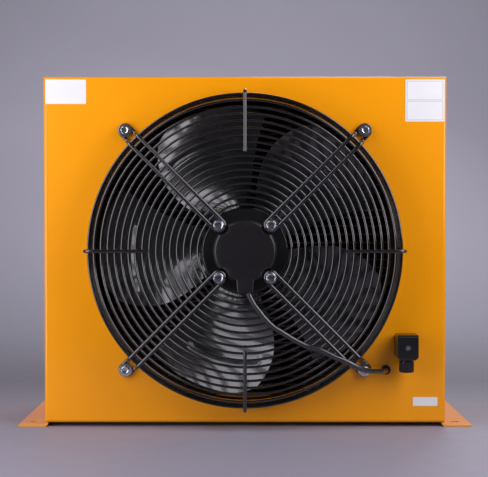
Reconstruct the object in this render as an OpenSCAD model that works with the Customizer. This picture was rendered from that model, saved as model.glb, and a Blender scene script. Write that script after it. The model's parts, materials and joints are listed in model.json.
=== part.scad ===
// Air-blast hydraulic oil cooler.
// A bar-and-plate aluminium core stands between two side plates with feet.
// A folded shroud in front of it carries an external-rotor axial fan on a wire guard.
// +X right, +Z up, front faces -Y. Origin: centre of the four foot slots, on the floor.

/* [Body] */
// Width of the front panel
panel_w = 547; // [520:1:680]
// Height of the front panel
panel_h = 471; // [465:1:580]
// Depth of the side plates, which is the length of the feet
body_d = 210; // [205:1:280]
// Gap between the panel and the floor
floor_gap = 6; // [6:1:20]
// Sheet thickness of the shroud
sheet_t = 2; // [1.5:0.1:3]
// Outer radius of the shroud's folds
fold_r = 4; // [3.2:0.1:6]
// Depth of the shroud's side folds
fold_d = 24; // [18:1:40]
// Depth of the shroud's top and bottom walls
shroud_d = 138; // [110:1:140]
// Height of the inward lips at the back of those walls
shroud_lip = 16; // [8:1:25]

/* [Feet] */
// Thickness of the side plates
plate_t = 2.5; // [2:0.1:3]
// Width that a foot stands out past the panel
foot_out = 36.6; // [28:0.1:60]
// Inner radius of the foot's bend
foot_bend_r = 3; // [2:0.5:3]
// Length of a foot slot, across the cooler
slot_l = 14; // [11:0.5:18]
// Width of a foot slot
slot_w = 9; // [6.5:0.5:10.5]
// Distance of a slot's centre from the panel's side
slot_out = 17; // [14:0.5:18]
// Distance of a slot's centre from the foot's end
slot_inset = 29; // [15:1:50]

/* [Fan hole] */
// Radius of the fan hole's throat
hole_r = 205; // [202:1:206]
// Depth of the collar round the fan hole
collar_d = 24; // [14:1:40]
// Outer radius of the collar's rolled lip
lip_r = 4; // [3.2:0.1:5]

/* [Fan] */
// Gap between the blade tips and the collar
tip_gap = 8; // [4:0.5:14]
// Width of a blade at the hub, in degrees
blade_span = 60; // [40:1:62]
// Depth of a blade at the hub
root_rise = 34; // [20:1:38]
// Depth of a blade at its tip
tip_rise = 46; // [25:1:60]
// Thickness of a blade
blade_t = 1.8; // [1.2:0.1:3]
// Radius of the bead pressed into each blade
bead_r = 152; // [120:1:165]
// Outer radius of the hub ring
hub_r = 56; // [54:0.5:58]
// Thickness of the hub ring
hub_t = 2.5; // [2:0.5:4]

/* [Motor] */
// Radius of the motor's front flange
flange_r = 58; // [57:0.5:60]
// Thickness of the motor's front flange
flange_t = 8; // [6:0.5:10]
// Radius of the raised nameplate disc
plate_r = 42; // [36:0.5:44]
// Height of the raised nameplate disc
plate_h = 10.5; // [9:0.5:14]
// Spacing of the motor bolts, across the square
motor_bolt_s = 69; // [66:0.5:70]
// Radius of the motor shaft
shaft_r = 6; // [4:0.5:8]
// Outer radius of the bearings
bearing_r = 14; // [12:0.5:15]
// Length of the stator stack
stack_l = 28; // [16:1:28]

/* [Guard] */
// Diameter of the guard's ring wire
ring_d = 3.5; // [2.5:0.1:4.5]
// Diameter of the struts' wire
strut_d = 5; // [4:0.1:6]
// Number of rings on the guard's front
ring_count = 16; // [8:1:18]
// Radius of the smallest front ring
ring_in_r = 62.3; // [62.3:0.1:75]
// Radius of the largest front ring
ring_out_r = 199.9; // [190:0.1:201]
// Radius of the rings down the guard's side
side_ring_r = 208.5; // [207:0.1:212]
// Number of rings down the guard's side
side_ring_count = 4; // [2:1:5]
// Distance of the front rings in front of the panel
guard_h = 41; // [36:0.5:60]
// Radius where the four short wires start
stub_in_r = 132; // [100:1:160]
// Spacing of the guard's bolts, across the square
guard_bolt_s = 324.5; // [322:0.5:332]
// Radius of a hairpin's loops, at the wire's centre
loop_r = 7.65; // [7:0.05:9]

/* [Core] */
// Depth of the core
core_d = 64; // [50:1:64]
// Height of an oil passage
passage_h = 3.6; // [2.5:0.1:6]
// Height that the air fin rows come close to
fin_h = 8.8; // [6:0.1:14]
// Length of one fin wave
fin_pitch = 12; // [8:0.5:20]
// Thickness of the fin sheet
fin_t = 0.6; // [0.4:0.1:1]
// Width of the bars that close the fin rows' ends
end_bar_w = 10; // [6:1:16]
// Height of the bars over and under the core
side_bar_h = 5; // [3:0.5:8]
// Width of an oil tank
tank_w = 45; // [44:1:60]
// Wall of an oil tank
tank_wall = 4; // [3:0.5:6]
// Radius of an oil port's hole
port_r = 15.15; // [8:0.05:16]
// Outer radius of an oil port
port_boss_r = 21; // [20:0.5:22]
// Length that an oil port stands out behind the tank
port_l = 22; // [16:1:40]
// Distance of the ports' axes from the core's ends
port_inset = 62; // [40:1:90]

/* [Plug] */
// Width of the plug
plug_w = 28; // [27:0.5:34]
// Height of the plug
plug_h = 34; // [32:0.5:40]
// Depth of the plug
plug_d = 30; // [24:0.5:34]
// Distance of the plug's centre right of the fan axis
plug_x = 217; // [212:0.5:222]
// Distance of the plug's centre below the fan axis
plug_drop = 129; // [125:0.5:135]
// Radius of the cable's way into the plug
gland_bore_r = 4.5; // [3:0.1:5]
// Radius of the plug's threaded neck
neck_r = 8; // [7:0.1:8.5]

/* [Cable] */
// Diameter of the motor cable
cable_d = 7; // [5:0.1:7]
// Outer radius of the grommet
grommet_r = 6.6; // [6:0.1:9]

/* [Stickers] */
// Thickness of the plain stickers
sticker_t = 0.3; // [0.2:0.1:0.5]
// Size of the upper left sticker
sticker_left = [55, 33]; // [20:1:80]
// Size of the upper right sticker
sticker_right = [53, 57]; // [20:1:80]
// Size of the lower right sticker
sticker_lower = [33.5, 12]; // [8:0.5:60]

/* [Hidden] */

$fn = 96;

// Clearances
joint_gap = 0.3;
shaft_gap = 0.05;
weld_gap = 0.05;
screw_gap = 0.1;

// Places in the whole
front_y = -body_d / 2;
panel_top = floor_gap + panel_h;
fan_z = floor_gap + panel_h / 2;
inner_x = panel_w / 2 - sheet_t;
plate_x = inner_x - plate_t;
foot_end = panel_w / 2 + foot_out;

// Colours
paint = [0.96, 0.62, 0.02];
black = [0.05, 0.05, 0.06];
zinc = [0.75, 0.76, 0.78];
alloy = [0.72, 0.73, 0.74];
copper = [0.75, 0.42, 0.22];
steel = [0.55, 0.56, 0.58];
rubber = [0.08, 0.08, 0.08];
white = [0.96, 0.96, 0.96];

// ---- Helpers ----

// The fan frame: the panel's front face at the fan axis, with depth along +Y
module fan_frame() {
    translate([0, front_y, fan_z]) children();
}

// A spoke of the fan frame: x is the radius, at angle a counter-clockwise from the front
module spoke(a) {
    fan_frame() rotate([0, -a, 0]) children();
}

// A solid of revolution about +Y, from a profile of radius and depth
module turned() {
    rotate([-90, 0, 0]) rotate_extrude() children();
}

module rod_y(r, l) {
    rotate([-90, 0, 0]) cylinder(r = r, h = l);
}

module tube_y(r_out, r_in, l) {
    turned() translate([r_in, 0]) square([r_out - r_in, l]);
}

module hex_y(across, l) {
    rotate([-90, 0, 0]) cylinder(r = across / sqrt(3), h = l, $fn = 6);
}

// An outline of x and z, extruded from depth y0 to y1
module along_y(y0, y1) {
    translate([0, y1, 0]) rotate([90, 0, 0]) linear_extrude(height = y1 - y0) children();
}

module block(low, high) {
    translate(low) cube(high - low);
}

// The four corners of a square round the fan axis
module square_spots(s) {
    for (x = [-s / 2, s / 2], z = [-s / 2, s / 2])
        fan_frame() translate([x, 0, z]) children();
}

module both_sides() {
    children();
    mirror([1, 0, 0]) children();
}

// A rectangle with all four corners rounded
module round_rect(w, h, r) {
    square([w - 2 * r, h], center = true);
    square([w, h - 2 * r], center = true);
    for (x = [-1, 1], y = [-1, 1])
        translate([x * (w / 2 - r), y * (h / 2 - r)]) circle(r = r);
}

// ---- Shroud and side plates ----

// A rectangle from y = 0 to d whose two front corners are rounded
module front_rounded(w, d, r) {
    translate([-w / 2, r]) square([w, d - r]);
    translate([-w / 2 + r, 0]) square([w - 2 * r, r]);
    for (x = [-1, 1]) translate([x * (w / 2 - r), r]) circle(r = r);
}

// A block whose four front edges are rounded
module front_block(w, h, d, r) {
    intersection() {
        translate([0, 0, -h / 2]) linear_extrude(height = h) front_rounded(w, d, r);
        translate([-w / 2, 0, 0]) rotate([0, 90, 0])
            linear_extrude(height = w) front_rounded(h, d, r);
    }
}

// Rolled lip and collar of the fan hole
module collar_profile() {
    translate([hole_r + lip_r, lip_r]) intersection() {
        difference() {
            circle(r = lip_r);
            circle(r = lip_r - sheet_t);
        }
        translate([-lip_r, -lip_r]) square(lip_r);
    }
    translate([hole_r, lip_r]) square([sheet_t, collar_d - lip_r]);
}

guard_hole_r = 3.3;
base_hole_r = 9;
base_screw_s = 20;
base_screw_r = 1.5;
grommet_at = [192, -163];
grommet_hole_r = grommet_r - 1.5;
rivet_r = 2.4;
rivet_count = 4;
rivet_y = 14;

function rivet_z(i) = floor_gap + 45 + i * (panel_h - 90) / (rivet_count - 1);

module plug_frame() {
    fan_frame() translate([plug_x, 0, -plug_drop]) children();
}

module grommet_frame() {
    fan_frame() translate([grommet_at[0], 0, grommet_at[1]]) children();
}

module base_screw_spots() {
    for (x = [-1, 1], z = [-1, 1])
        plug_frame() translate([x * base_screw_s / 2, 0, z * base_screw_s / 2]) children();
}

module rivet_spots() {
    both_sides() for (i = [0:rivet_count - 1])
        translate([inner_x, front_y + rivet_y, rivet_z(i)]) rotate([0, 90, 0]) children();
}

module shroud() {
    cut = 1;
    color(paint) difference() {
        union() {
            fan_frame() difference() {
                front_block(panel_w, panel_h, shroud_d, fold_r);
                translate([0, sheet_t, 0])
                    front_block(panel_w - 2 * sheet_t, panel_h - 2 * sheet_t,
                                shroud_d, fold_r - sheet_t);
                for (s = [-1, 1]) translate([s * panel_w / 2, fold_d + shroud_d / 2, 0])
                    cube([2 * (plate_t + sheet_t + joint_gap), shroud_d, panel_h + cut],
                         center = true);
                translate([0, -cut, 0]) rod_y(hole_r + lip_r, sheet_t + 2 * cut);
            }
            fan_frame() turned() collar_profile();
            for (s = [-1, 1]) fan_frame() translate([-plate_x + joint_gap, shroud_d - sheet_t,
                s * (panel_h / 2 - shroud_lip / 2) - shroud_lip / 2])
                cube([2 * (plate_x - joint_gap), sheet_t, shroud_lip]);
        }
        both_sides() translate([plate_x - joint_gap, front_y + sheet_t, 0])
            cube([plate_t + joint_gap, fold_d, panel_top - sheet_t]);
        square_spots(guard_bolt_s) translate([0, -cut, 0]) rod_y(guard_hole_r, sheet_t + 2 * cut);
        grommet_frame() translate([0, -cut, 0]) rod_y(grommet_hole_r, sheet_t + 2 * cut);
        plug_frame() translate([0, -cut, 0]) rod_y(base_hole_r, sheet_t + 2 * cut);
        base_screw_spots() translate([0, -cut, 0]) rod_y(base_screw_r, sheet_t + 2 * cut);
        rivet_spots() translate([0, 0, -cut]) cylinder(r = rivet_r + screw_gap, h = sheet_t + 2 * cut);
    }
}

// The plate and its foot, as an outline of x and z
module side_plate_outline() {
    bend = [inner_x + foot_bend_r, plate_t + foot_bend_r];
    outer_r = foot_bend_r + plate_t;
    translate([plate_x, bend[1]])
        square([plate_t, panel_top - sheet_t - joint_gap - bend[1]]);
    translate([bend[0], 0]) square([foot_end - bend[0], plate_t]);
    translate(bend) intersection() {
        difference() {
            circle(r = outer_r);
            circle(r = foot_bend_r);
        }
        translate([-outer_r, -outer_r]) square(outer_r);
    }
}

module slot_outline() {
    square([slot_l - slot_w, slot_w], center = true);
    for (x = [-1, 1]) translate([x * (slot_l - slot_w) / 2, 0]) circle(r = slot_w / 2);
}

core_bolt_r = 4;
core_y = front_y + shroud_d;
core_z0 = floor_gap + sheet_t + joint_gap;
core_z1 = panel_top - sheet_t - joint_gap;

// Where the bolts pass the side plates, with x pointing outwards
module core_bolt_spots() {
    for (y = [core_d / 4, core_d * 3 / 4], z = [core_z0 + 120, core_z1 - 120])
        translate([plate_x, core_y + y, z]) rotate([0, 90, 0]) children();
}

module side_plate_right() {
    cut = 1;
    color(paint) difference() {
        along_y(front_y + sheet_t + joint_gap, front_y + body_d) side_plate_outline();
        for (y = [front_y + slot_inset, front_y + body_d - slot_inset])
            translate([panel_w / 2 + slot_out, y, -cut])
                linear_extrude(height = plate_t + 2 * cut) slot_outline();
        core_bolt_spots() translate([0, 0, -cut])
            cylinder(r = core_bolt_r + 0.5, h = plate_t + 2 * cut);
        rivet_spots() translate([0, 0, -plate_t - cut])
            cylinder(r = rivet_r + screw_gap, h = plate_t + 2 * cut);
    }
}

module side_plate_left() {
    mirror([1, 0, 0]) side_plate_right();
}

module shroud_rivets() {
    head_r = 4.8;
    color(zinc) rivet_spots() {
        translate([0, 0, -plate_t - 2]) cylinder(r = rivet_r, h = plate_t + sheet_t + 2);
        translate([0, 0, sheet_t]) cylinder(r1 = head_r, r2 = head_r - 2, h = 1.4);
        translate([0, 0, -plate_t - 2]) cylinder(r1 = rivet_r + 0.2, r2 = rivet_r + 1, h = 2);
    }
}

module core_bolts() {
    color(zinc) both_sides() core_bolt_spots() {
        translate([0, 0, plate_t]) cylinder(r = 8.4, h = 1.6);
        translate([0, 0, plate_t + 1.6]) cylinder(r = 13 / sqrt(3), h = 5.3, $fn = 6);
        translate([0, 0, -14]) cylinder(r = core_bolt_r - screw_gap, h = 14 + plate_t + 1.6);
    }
}

// ---- Core ----

stack_z0 = core_z0 + side_bar_h;
stack_h = core_z1 - core_z0 - 2 * side_bar_h;
passage_count = round((stack_h - fin_h) / (fin_h + passage_h));
row_h = (stack_h - passage_count * passage_h) / (passage_count + 1);
row_pitch = row_h + passage_h;
tank_x = plate_x - tank_w;
fin_inset = 2;

module core_passages() {
    color(alloy) for (i = [1:passage_count])
        translate([-tank_x, core_y + core_d / 2, stack_z0 + i * row_pitch - passage_h / 2])
            rotate([90, 0, 90]) linear_extrude(height = 2 * tank_x)
                round_rect(core_d, passage_h, passage_h / 2 - 0.01);
}

// One corrugated sheet across w, as an outline of x and z
module fin_outline(w, h) {
    waves = floor(w / fin_pitch);
    half = w / waves / 2;
    rise = h - fin_t * 1.4;
    crest = [for (i = [0:2 * waves]) [i * half, (i % 2) * rise]];
    polygon(concat(crest, [for (i = [2 * waves:-1:0]) [i * half, (i % 2) * rise + fin_t * 1.4]]));
}

module core_fins() {
    fin_w = 2 * (tank_x - end_bar_w - weld_gap);
    color(alloy) for (i = [0:passage_count])
        translate([-fin_w / 2, 0, stack_z0 + i * row_pitch + weld_gap])
            along_y(core_y + fin_inset, core_y + core_d - fin_inset)
                fin_outline(fin_w, row_h - 2 * weld_gap);
}

module core_end_bars() {
    color(alloy) both_sides() for (i = [0:passage_count])
        block([tank_x - end_bar_w, core_y + 0.5, stack_z0 + i * row_pitch + weld_gap],
              [tank_x, core_y + core_d - 0.5, stack_z0 + i * row_pitch + row_h - weld_gap]);
}

module core_side_bars() {
    color(alloy) for (z = [core_z0, core_z1 - side_bar_h])
        block([-tank_x, core_y, z], [tank_x, core_y + core_d, z + side_bar_h]);
}

tank_corner_r = 6;

// A channel, open towards the core
module tank_outline() {
    difference() {
        union() {
            square([tank_w - tank_corner_r, core_d]);
            translate([0, tank_corner_r]) square([tank_w, core_d - 2 * tank_corner_r]);
            for (y = [tank_corner_r, core_d - tank_corner_r])
                translate([tank_w - tank_corner_r, y]) circle(r = tank_corner_r);
        }
        translate([-1, tank_wall]) square([tank_w - tank_wall + 1, core_d - 2 * tank_wall]);
    }
}

module port_spot(side, z) {
    translate([side * (tank_x + tank_w / 2), core_y + core_d, z]) children();
}

module tank(side, port_z) {
    cut = 1;
    color(alloy) difference() {
        union() {
            mirror([side < 0 ? 1 : 0, 0, 0]) translate([tank_x, core_y, core_z0 + tank_wall])
                linear_extrude(height = core_z1 - core_z0 - 2 * tank_wall) tank_outline();
            mirror([side < 0 ? 1 : 0, 0, 0]) core_bolt_spots()
                translate([0, 0, -16]) cylinder(r = 8, h = 16 - tank_wall / 2);
        }
        mirror([side < 0 ? 1 : 0, 0, 0]) core_bolt_spots()
            translate([0, 0, -14.5]) cylinder(r = core_bolt_r, h = 14.5 + cut);
        port_spot(side, port_z) translate([0, -tank_wall - cut, 0])
            rod_y(port_r, tank_wall + 2 * cut);
    }
}

port_low_z = core_z0 + port_inset;
port_high_z = core_z1 - port_inset;

module tank_left() {
    tank(-1, port_low_z);
}

module tank_right() {
    tank(1, port_high_z);
}

module tank_caps() {
    color(alloy) both_sides() for (z = [core_z0, core_z1 - tank_wall])
        block([tank_x, core_y, z], [plate_x, core_y + core_d, z + tank_wall]);
}

module oil_port(side, z) {
    chamfer = 1.5;
    color(alloy) port_spot(side, z) turned()
        polygon([[port_r, 0], [port_boss_r, 0], [port_boss_r, port_l - chamfer],
                 [port_boss_r - chamfer, port_l], [port_r, port_l]]);
}

module oil_port_lower() {
    oil_port(-1, port_low_z);
}

module oil_port_upper() {
    oil_port(1, port_high_z);
}

// ---- Motor ----

strut_y = -(guard_h + ring_d / 2 + weld_gap + strut_d / 2);
boss_y = strut_y + strut_d / 2;
flange_y = boss_y + 5;
flange_back_y = flange_y + flange_t;
motor_bolt_r = 4;
tube_wall = 4;
tube_l = 52;
cable_exit = [5, -55.8];
cable_boss_h = 12.5;
cable_y = flange_y - cable_boss_h + cable_d / 2 + 1.1;
// The cable leaves the motor at this angle from straight down
cable_tilt = 15;
motor_hole_l = 13;
bolt_boss_r = 9;

// The flange disc, with a round front rim
module flange_profile() {
    rim_r = 3;
    square([flange_r - rim_r, flange_t]);
    translate([0, rim_r]) square([flange_r, flange_t - rim_r]);
    translate([flange_r - rim_r, rim_r]) circle(r = rim_r);
}

// The raised nameplate disc, with a sloping edge
module nameplate_profile() {
    slope = 3;
    polygon([[0, -plate_h], [plate_r - slope, -plate_h], [plate_r, slope - plate_h], [plate_r, 0], [0, 0]]);
}

module cable_boss_outline() {
    polygon([[-13, -30], [13, -30], [10.8, cable_exit[1]], [-10.2, cable_exit[1]]]);
}

module motor_flange() {
    notch_r = 11.5;
    color(black) difference() {
        union() {
            fan_frame() translate([0, flange_y, 0]) turned() flange_profile();
            difference() {
                fan_frame() translate([0, flange_y, 0]) turned() nameplate_profile();
                square_spots(motor_bolt_s) translate([0, flange_y - plate_h - 1, 0])
                    rod_y(notch_r, plate_h + 1);
            }
            square_spots(motor_bolt_s) translate([0, boss_y, 0]) rod_y(bolt_boss_r, flange_y - boss_y + 1);
            fan_frame() along_y(flange_y - cable_boss_h, flange_y + 1) cable_boss_outline();
            fan_frame() translate([0, flange_back_y - 1, 0])
                rod_y(bearing_r + tube_wall, tube_l + 1);
        }
        fan_frame() translate([0, flange_back_y, 0]) rod_y(bearing_r, tube_l + 1);
        square_spots(motor_bolt_s) translate([0, boss_y - 1, 0]) rod_y(motor_bolt_r, motor_hole_l);
        fan_frame() translate([cable_exit[0], cable_y, cable_exit[1]])
            rotate([0, -cable_tilt, 0]) translate([0, 0, -3])
                cylinder(r = cable_d / 2 + joint_gap, h = 17);
    }
}

bearing_w = 8;
bearing_front_y = flange_back_y + 2;
bearing_rear_y = flange_back_y + tube_l - bearing_w;

// A ball bearing's rings and shields, as one ring with a groove in each face
module bearing(y) {
    groove = 0.8;
    mid = (shaft_r + bearing_r) / 2;
    color(steel) fan_frame() translate([0, y, 0]) difference() {
        tube_y(bearing_r, shaft_r + shaft_gap, bearing_w);
        for (s = [-groove, bearing_w - groove]) translate([0, s, 0])
            tube_y(mid + 2, mid - 2, 2 * groove);
    }
}

module bearing_front() {
    bearing(bearing_front_y);
}

module bearing_rear() {
    bearing(bearing_rear_y);
}

cup_r = hub_r - hub_t;
cup_t = 3;
cage_in_r = cup_r - cup_t - 8.5;
stack_in_r = bearing_r + tube_wall;
stack_out_r = cage_in_r - 0.5;
stack_y = flange_back_y + 13;
slot_count = 12;
tooth_slot_r = [stack_in_r + 6, stack_out_r - 3];
tooth_slot_w = 7;
overhang = 8;

module stator_core() {
    color(steel) difference() {
        fan_frame() translate([0, stack_y, 0]) tube_y(stack_out_r, stack_in_r, stack_l);
        for (i = [0:slot_count - 1]) spoke(i * 360 / slot_count) {
            translate([tooth_slot_r[0], stack_y - 1, -tooth_slot_w / 2])
                cube([tooth_slot_r[1] - tooth_slot_r[0], stack_l + 2, tooth_slot_w]);
            translate([tooth_slot_r[0], stack_y - 1, -1])
                cube([stack_out_r, stack_l + 2, 2]);
        }
    }
}

module stator_winding() {
    bar = tooth_slot_w - 2 * joint_gap;
    low = tooth_slot_r[0] + joint_gap;
    high = tooth_slot_r[1] - joint_gap;
    color(copper) union() {
        for (y = [stack_y - overhang - joint_gap, stack_y + stack_l + joint_gap])
            fan_frame() translate([0, y, 0]) turned()
                translate([(low + high) / 2, overhang / 2]) round_rect(high - low, overhang, 2.5);
        for (i = [0:slot_count - 1]) spoke(i * 360 / slot_count)
            translate([low + 1, stack_y - 2, -bar / 2]) cube([high - low - 2, stack_l + 4, bar]);
    }
}

cup_front_y = flange_back_y + 4;
cup_back_y = flange_back_y + tube_l + 8;
cup_boss_r = 13;
cup_boss_l = 7;

module rotor_cup() {
    lip = 1.5;
    color(black) fan_frame() turned()
        polygon([[shaft_r, cup_back_y - cup_boss_l], [cup_boss_r, cup_back_y - cup_boss_l],
                 [cup_boss_r, cup_back_y - cup_t], [cup_r - cup_t, cup_back_y - cup_t],
                 [cup_r - cup_t, cup_front_y + lip], [cup_r - cup_t + lip, cup_front_y],
                 [cup_r, cup_front_y], [cup_r, cup_back_y - lip],
                 [cup_r - lip, cup_back_y], [shaft_r, cup_back_y]]);
}

module rotor_cage() {
    color(alloy) fan_frame() translate([0, stack_y - 3, 0])
        tube_y(cup_r - cup_t, cage_in_r, stack_l + 6);
}

module motor_shaft() {
    end_chamfer = 1;
    front = flange_back_y + 0.5;
    color(steel) fan_frame() turned()
        polygon([[0, front], [shaft_r - end_chamfer, front], [shaft_r, front + end_chamfer],
                 [shaft_r, cup_back_y], [0, cup_back_y]]);
}

// ---- Impeller ----

ring_y0 = -18;
ring_y1 = 27;
root_r = hub_r - 1.3;
tip_r = hole_r - tip_gap;
blade_front_y = -8;
tip_front_y = -4;
// Angles of the blades' outlet edges, seen from the front: unevenly spaced, for low noise
blade_angles = [138, 74, -2, -76, -150];
// Share of the span where the bead is level, and the rows that draw a blade
bead_h = 1.6;
bead_w = 5;
bead_u = [0.12, 0.8];
chord_steps = 12;
span = tip_r - root_r;
bead_rows = [for (k = [-2:2]) (bead_r - root_r + k * bead_w / 2) / span];
span_rows = concat([0, 0.15, 0.3, 0.45, 0.57], bead_rows, [0.78, 0.86, 0.93, 1]);

// Outlet edge's lead over the reference angle, in degrees, at a share t of the span
function edge_lead(t) = 2.4 + 22.6 * t - 37.9 * t * t;
function width_at(t) = blade_span - 16 * t * t * t;
function camber_at(t) = 7 - 2 * t;
// The blade's outer corners are round: the span is shorter near both edges
function reach(u) = 1 - 0.075 * pow(abs(2 * u - 1), 7);
function bead_lift(u, t) =
    (u < bead_u[0] || u > bead_u[1]) ? 0 :
    bead_h * max(0, 1 - abs((t - bead_rows[2]) * span) / bead_w);

function blade_point(u, s, back) =
    let (t = s * reach(u),
         r = root_r + t * span,
         a = edge_lead(t) - u * width_at(t),
         rise = root_rise + (tip_rise - root_rise) * t,
         front = blade_front_y + (tip_front_y - blade_front_y) * t,
         y = front + rise * u + camber_at(t) * 4 * u * (1 - u) - bead_lift(u, t) + back * blade_t)
    [r * cos(a), y, r * sin(a)];

module blade() {
    n = chord_steps + 1;
    m = len(span_rows);
    points = [for (back = [0, 1], s = span_rows, i = [0:chord_steps])
        blade_point(i / chord_steps, s, back)];
    faces = concat(
        [for (j = [0:m - 2], i = [0:n - 2]) [j * n + i, j * n + i + 1, (j + 1) * n + i + 1]],
        [for (j = [0:m - 2], i = [0:n - 2]) [j * n + i, (j + 1) * n + i + 1, (j + 1) * n + i]],
        [for (j = [0:m - 2], i = [0:n - 2])
            [(m + j) * n + i, (m + j + 1) * n + i + 1, (m + j) * n + i + 1]],
        [for (j = [0:m - 2], i = [0:n - 2])
            [(m + j) * n + i, (m + j + 1) * n + i, (m + j + 1) * n + i + 1]],
        [for (i = [0:n - 2]) each edge_faces(i + 1, i, m * n)],
        [for (i = [0:n - 2]) each edge_faces((m - 1) * n + i, (m - 1) * n + i + 1, m * n)],
        [for (j = [0:m - 2]) each edge_faces(j * n, (j + 1) * n, m * n)],
        [for (j = [0:m - 2]) each edge_faces((j + 1) * n + n - 1, j * n + n - 1, m * n)]
    );
    polyhedron(points = points, faces = faces);
}

// Two triangles between an edge of the front sheet and the same edge of the back sheet
function edge_faces(a, b, off) = [[a, b, b + off], [a, b + off, a + off]];

module impeller_ring() {
    color(black) fan_frame() turned()
        polygon([[cup_r, ring_y0 + 1], [cup_r + 1, ring_y0], [hub_r - 0.8, ring_y0],
                 [hub_r, ring_y0 + 1.5], [hub_r, ring_y1], [cup_r, ring_y1]]);
}

module impeller_blades() {
    color(black) for (a = blade_angles) spoke(a) blade();
}

// ---- Guard ----

ring_pitch = (ring_out_r - ring_in_r) / (ring_count - 1);
leg_r = side_ring_r + ring_d / 2 + strut_d / 2 + weld_gap;
side_front_y = -(guard_h - 7);
side_back_y = -(ring_d / 2 + joint_gap);
side_ring_pitch = (side_back_y - side_front_y) / (side_ring_count - 1);
bend_r = 8;
foot_bend = 6;
eyelet_y = -(strut_d / 2 + weld_gap);

module guard_front_rings() {
    color(black) fan_frame() for (i = [0:ring_count - 1])
        turned() translate([ring_in_r + i * ring_pitch, -guard_h]) circle(r = ring_d / 2);
}

module guard_side_rings() {
    color(black) fan_frame() for (i = [0:side_ring_count - 1])
        turned() translate([side_ring_r, side_front_y + i * side_ring_pitch]) circle(r = ring_d / 2);
}

// A bend of a spoke's wire, in its plane, from angle a over 90 degrees
module wire_bend(at, r, a) {
    translate(at) rotate([0, 0, a]) rotate_extrude(angle = 90)
        translate([r, 0]) circle(r = strut_d / 2);
}

// A hairpin's closed end, two quarter turns round its bolt
module wire_loop(x, y, a) {
    translate([x, y, 0]) rotate([-90, 0, 0]) for (turn = [a, a + 90])
        rotate([0, 0, turn]) rotate_extrude(angle = 90)
            translate([loop_r, 0]) circle(r = strut_d / 2);
}

// A straight wire along x, from x0 to x1
module wire_x(x0, x1, y) {
    translate([x0, y, 0]) rotate([0, 90, 0]) cylinder(r = strut_d / 2, h = x1 - x0);
}

// The wire over the guard's rim, from x0 on the front to depth y1 at its side
module over_rim(x0, y1) {
    wire_x(x0, leg_r - bend_r, strut_y);
    wire_bend([leg_r - bend_r, strut_y + bend_r, 0], bend_r, -90);
    translate([leg_r, strut_y + bend_r, 0]) rod_y(strut_d / 2, y1 - strut_y - bend_r);
}

// Bolt places along a spoke, to a hundredth, so that the wire's pieces meet
function on_spoke(square) = round(square / sqrt(2) * 100) / 100;

// A closed loop of wire from a motor bolt to a corner bolt
module hairpin() {
    motor_x = on_spoke(motor_bolt_s);
    eyelet_x = on_spoke(guard_bolt_s);
    for (z = [-loop_r, loop_r]) translate([0, 0, z]) {
        over_rim(motor_x, eyelet_y - foot_bend);
        wire_bend([leg_r + foot_bend, eyelet_y - foot_bend, 0], foot_bend, 90);
        wire_x(leg_r + foot_bend, eyelet_x, eyelet_y);
    }
    wire_loop(motor_x, strut_y, 90);
    wire_loop(eyelet_x, eyelet_y, -90);
}

module guard_struts() {
    color(black) for (a = [45:90:315]) spoke(a) hairpin();
}

module guard_stubs() {
    color(black) for (a = [0:90:270]) spoke(a) over_rim(stub_in_r, -joint_gap);
}

washer_t = 1.6;
lock_t = 2.2;
motor_washer_y = strut_y - strut_d / 2 - washer_t;
motor_head_h = 5.3;

module motor_washers() {
    color(zinc) square_spots(motor_bolt_s) translate([0, motor_washer_y, 0])
        tube_y(8, motor_bolt_r + screw_gap, washer_t);
}

module motor_lock_washers() {
    color(zinc) square_spots(motor_bolt_s) translate([0, motor_washer_y - lock_t, 0]) difference() {
        tube_y(6.6, motor_bolt_r + screw_gap, lock_t);
        rotate([0, 35, 0]) translate([0, -1, -0.4]) cube([10, lock_t + 2, 0.8]);
    }
}

module hex_bolt(across, head_h, shank_r, shank_l) {
    translate([0, -head_h, 0]) intersection() {
        hex_y(across, head_h);
        turned() polygon([[0, 0], [across * 0.46, 0], [across * 0.6, across * 0.08],
                          [across * 0.6, head_h], [0, head_h]]);
    }
    rod_y(shank_r, shank_l);
}

module motor_bolts() {
    color(zinc) square_spots(motor_bolt_s) translate([0, motor_washer_y - lock_t, 0])
        hex_bolt(13, motor_head_h, motor_bolt_r - screw_gap, 20);
}

guard_washer_y = eyelet_y - strut_d / 2 - washer_t;

module guard_washers() {
    color(zinc) square_spots(guard_bolt_s) translate([0, guard_washer_y, 0])
        tube_y(9, guard_hole_r, washer_t);
}

module guard_bolts() {
    color(zinc) square_spots(guard_bolt_s) translate([0, guard_washer_y, 0])
        hex_bolt(10, 4, 3, 16);
}

module guard_nuts() {
    color(zinc) square_spots(guard_bolt_s) translate([0, sheet_t, 0]) difference() {
        hex_y(10, 5);
        translate([0, -1, 0]) rod_y(3 + shaft_gap, 7);
    }
}

// ---- Connector and plug ----

gasket_t = 1.5;
base_t = 5;
base_y = -gasket_t - base_t;
plug_gasket_t = 1;
plug_back_y = base_y - plug_gasket_t;
pin_spots = [[-6.5, 0, 90], [6.5, 0, 90], [0, 7, 0], [0, -7, 0]];
pin_w = 6.3;
pin_t = 0.8;
pin_out = 12;
stub_l = 14;
plug_screw_r = 1.5;
plug_screw_in = 12;
plug_head_r = 3;

module pin_places() {
    for (p = pin_spots) plug_frame() translate([p[0], 0, p[1]]) rotate([0, p[2], 0]) children();
}

module connector_gasket() {
    color(rubber) plug_frame() difference() {
        along_y(-gasket_t, 0) round_rect(plug_w, plug_w, 2);
        translate([0, -gasket_t - 1, 0]) rod_y(base_hole_r, gasket_t + 2);
        for (x = [-1, 1], z = [-1, 1])
            translate([x * base_screw_s / 2, -gasket_t - 1, z * base_screw_s / 2])
                rod_y(base_screw_r, gasket_t + 2);
    }
}

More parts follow.
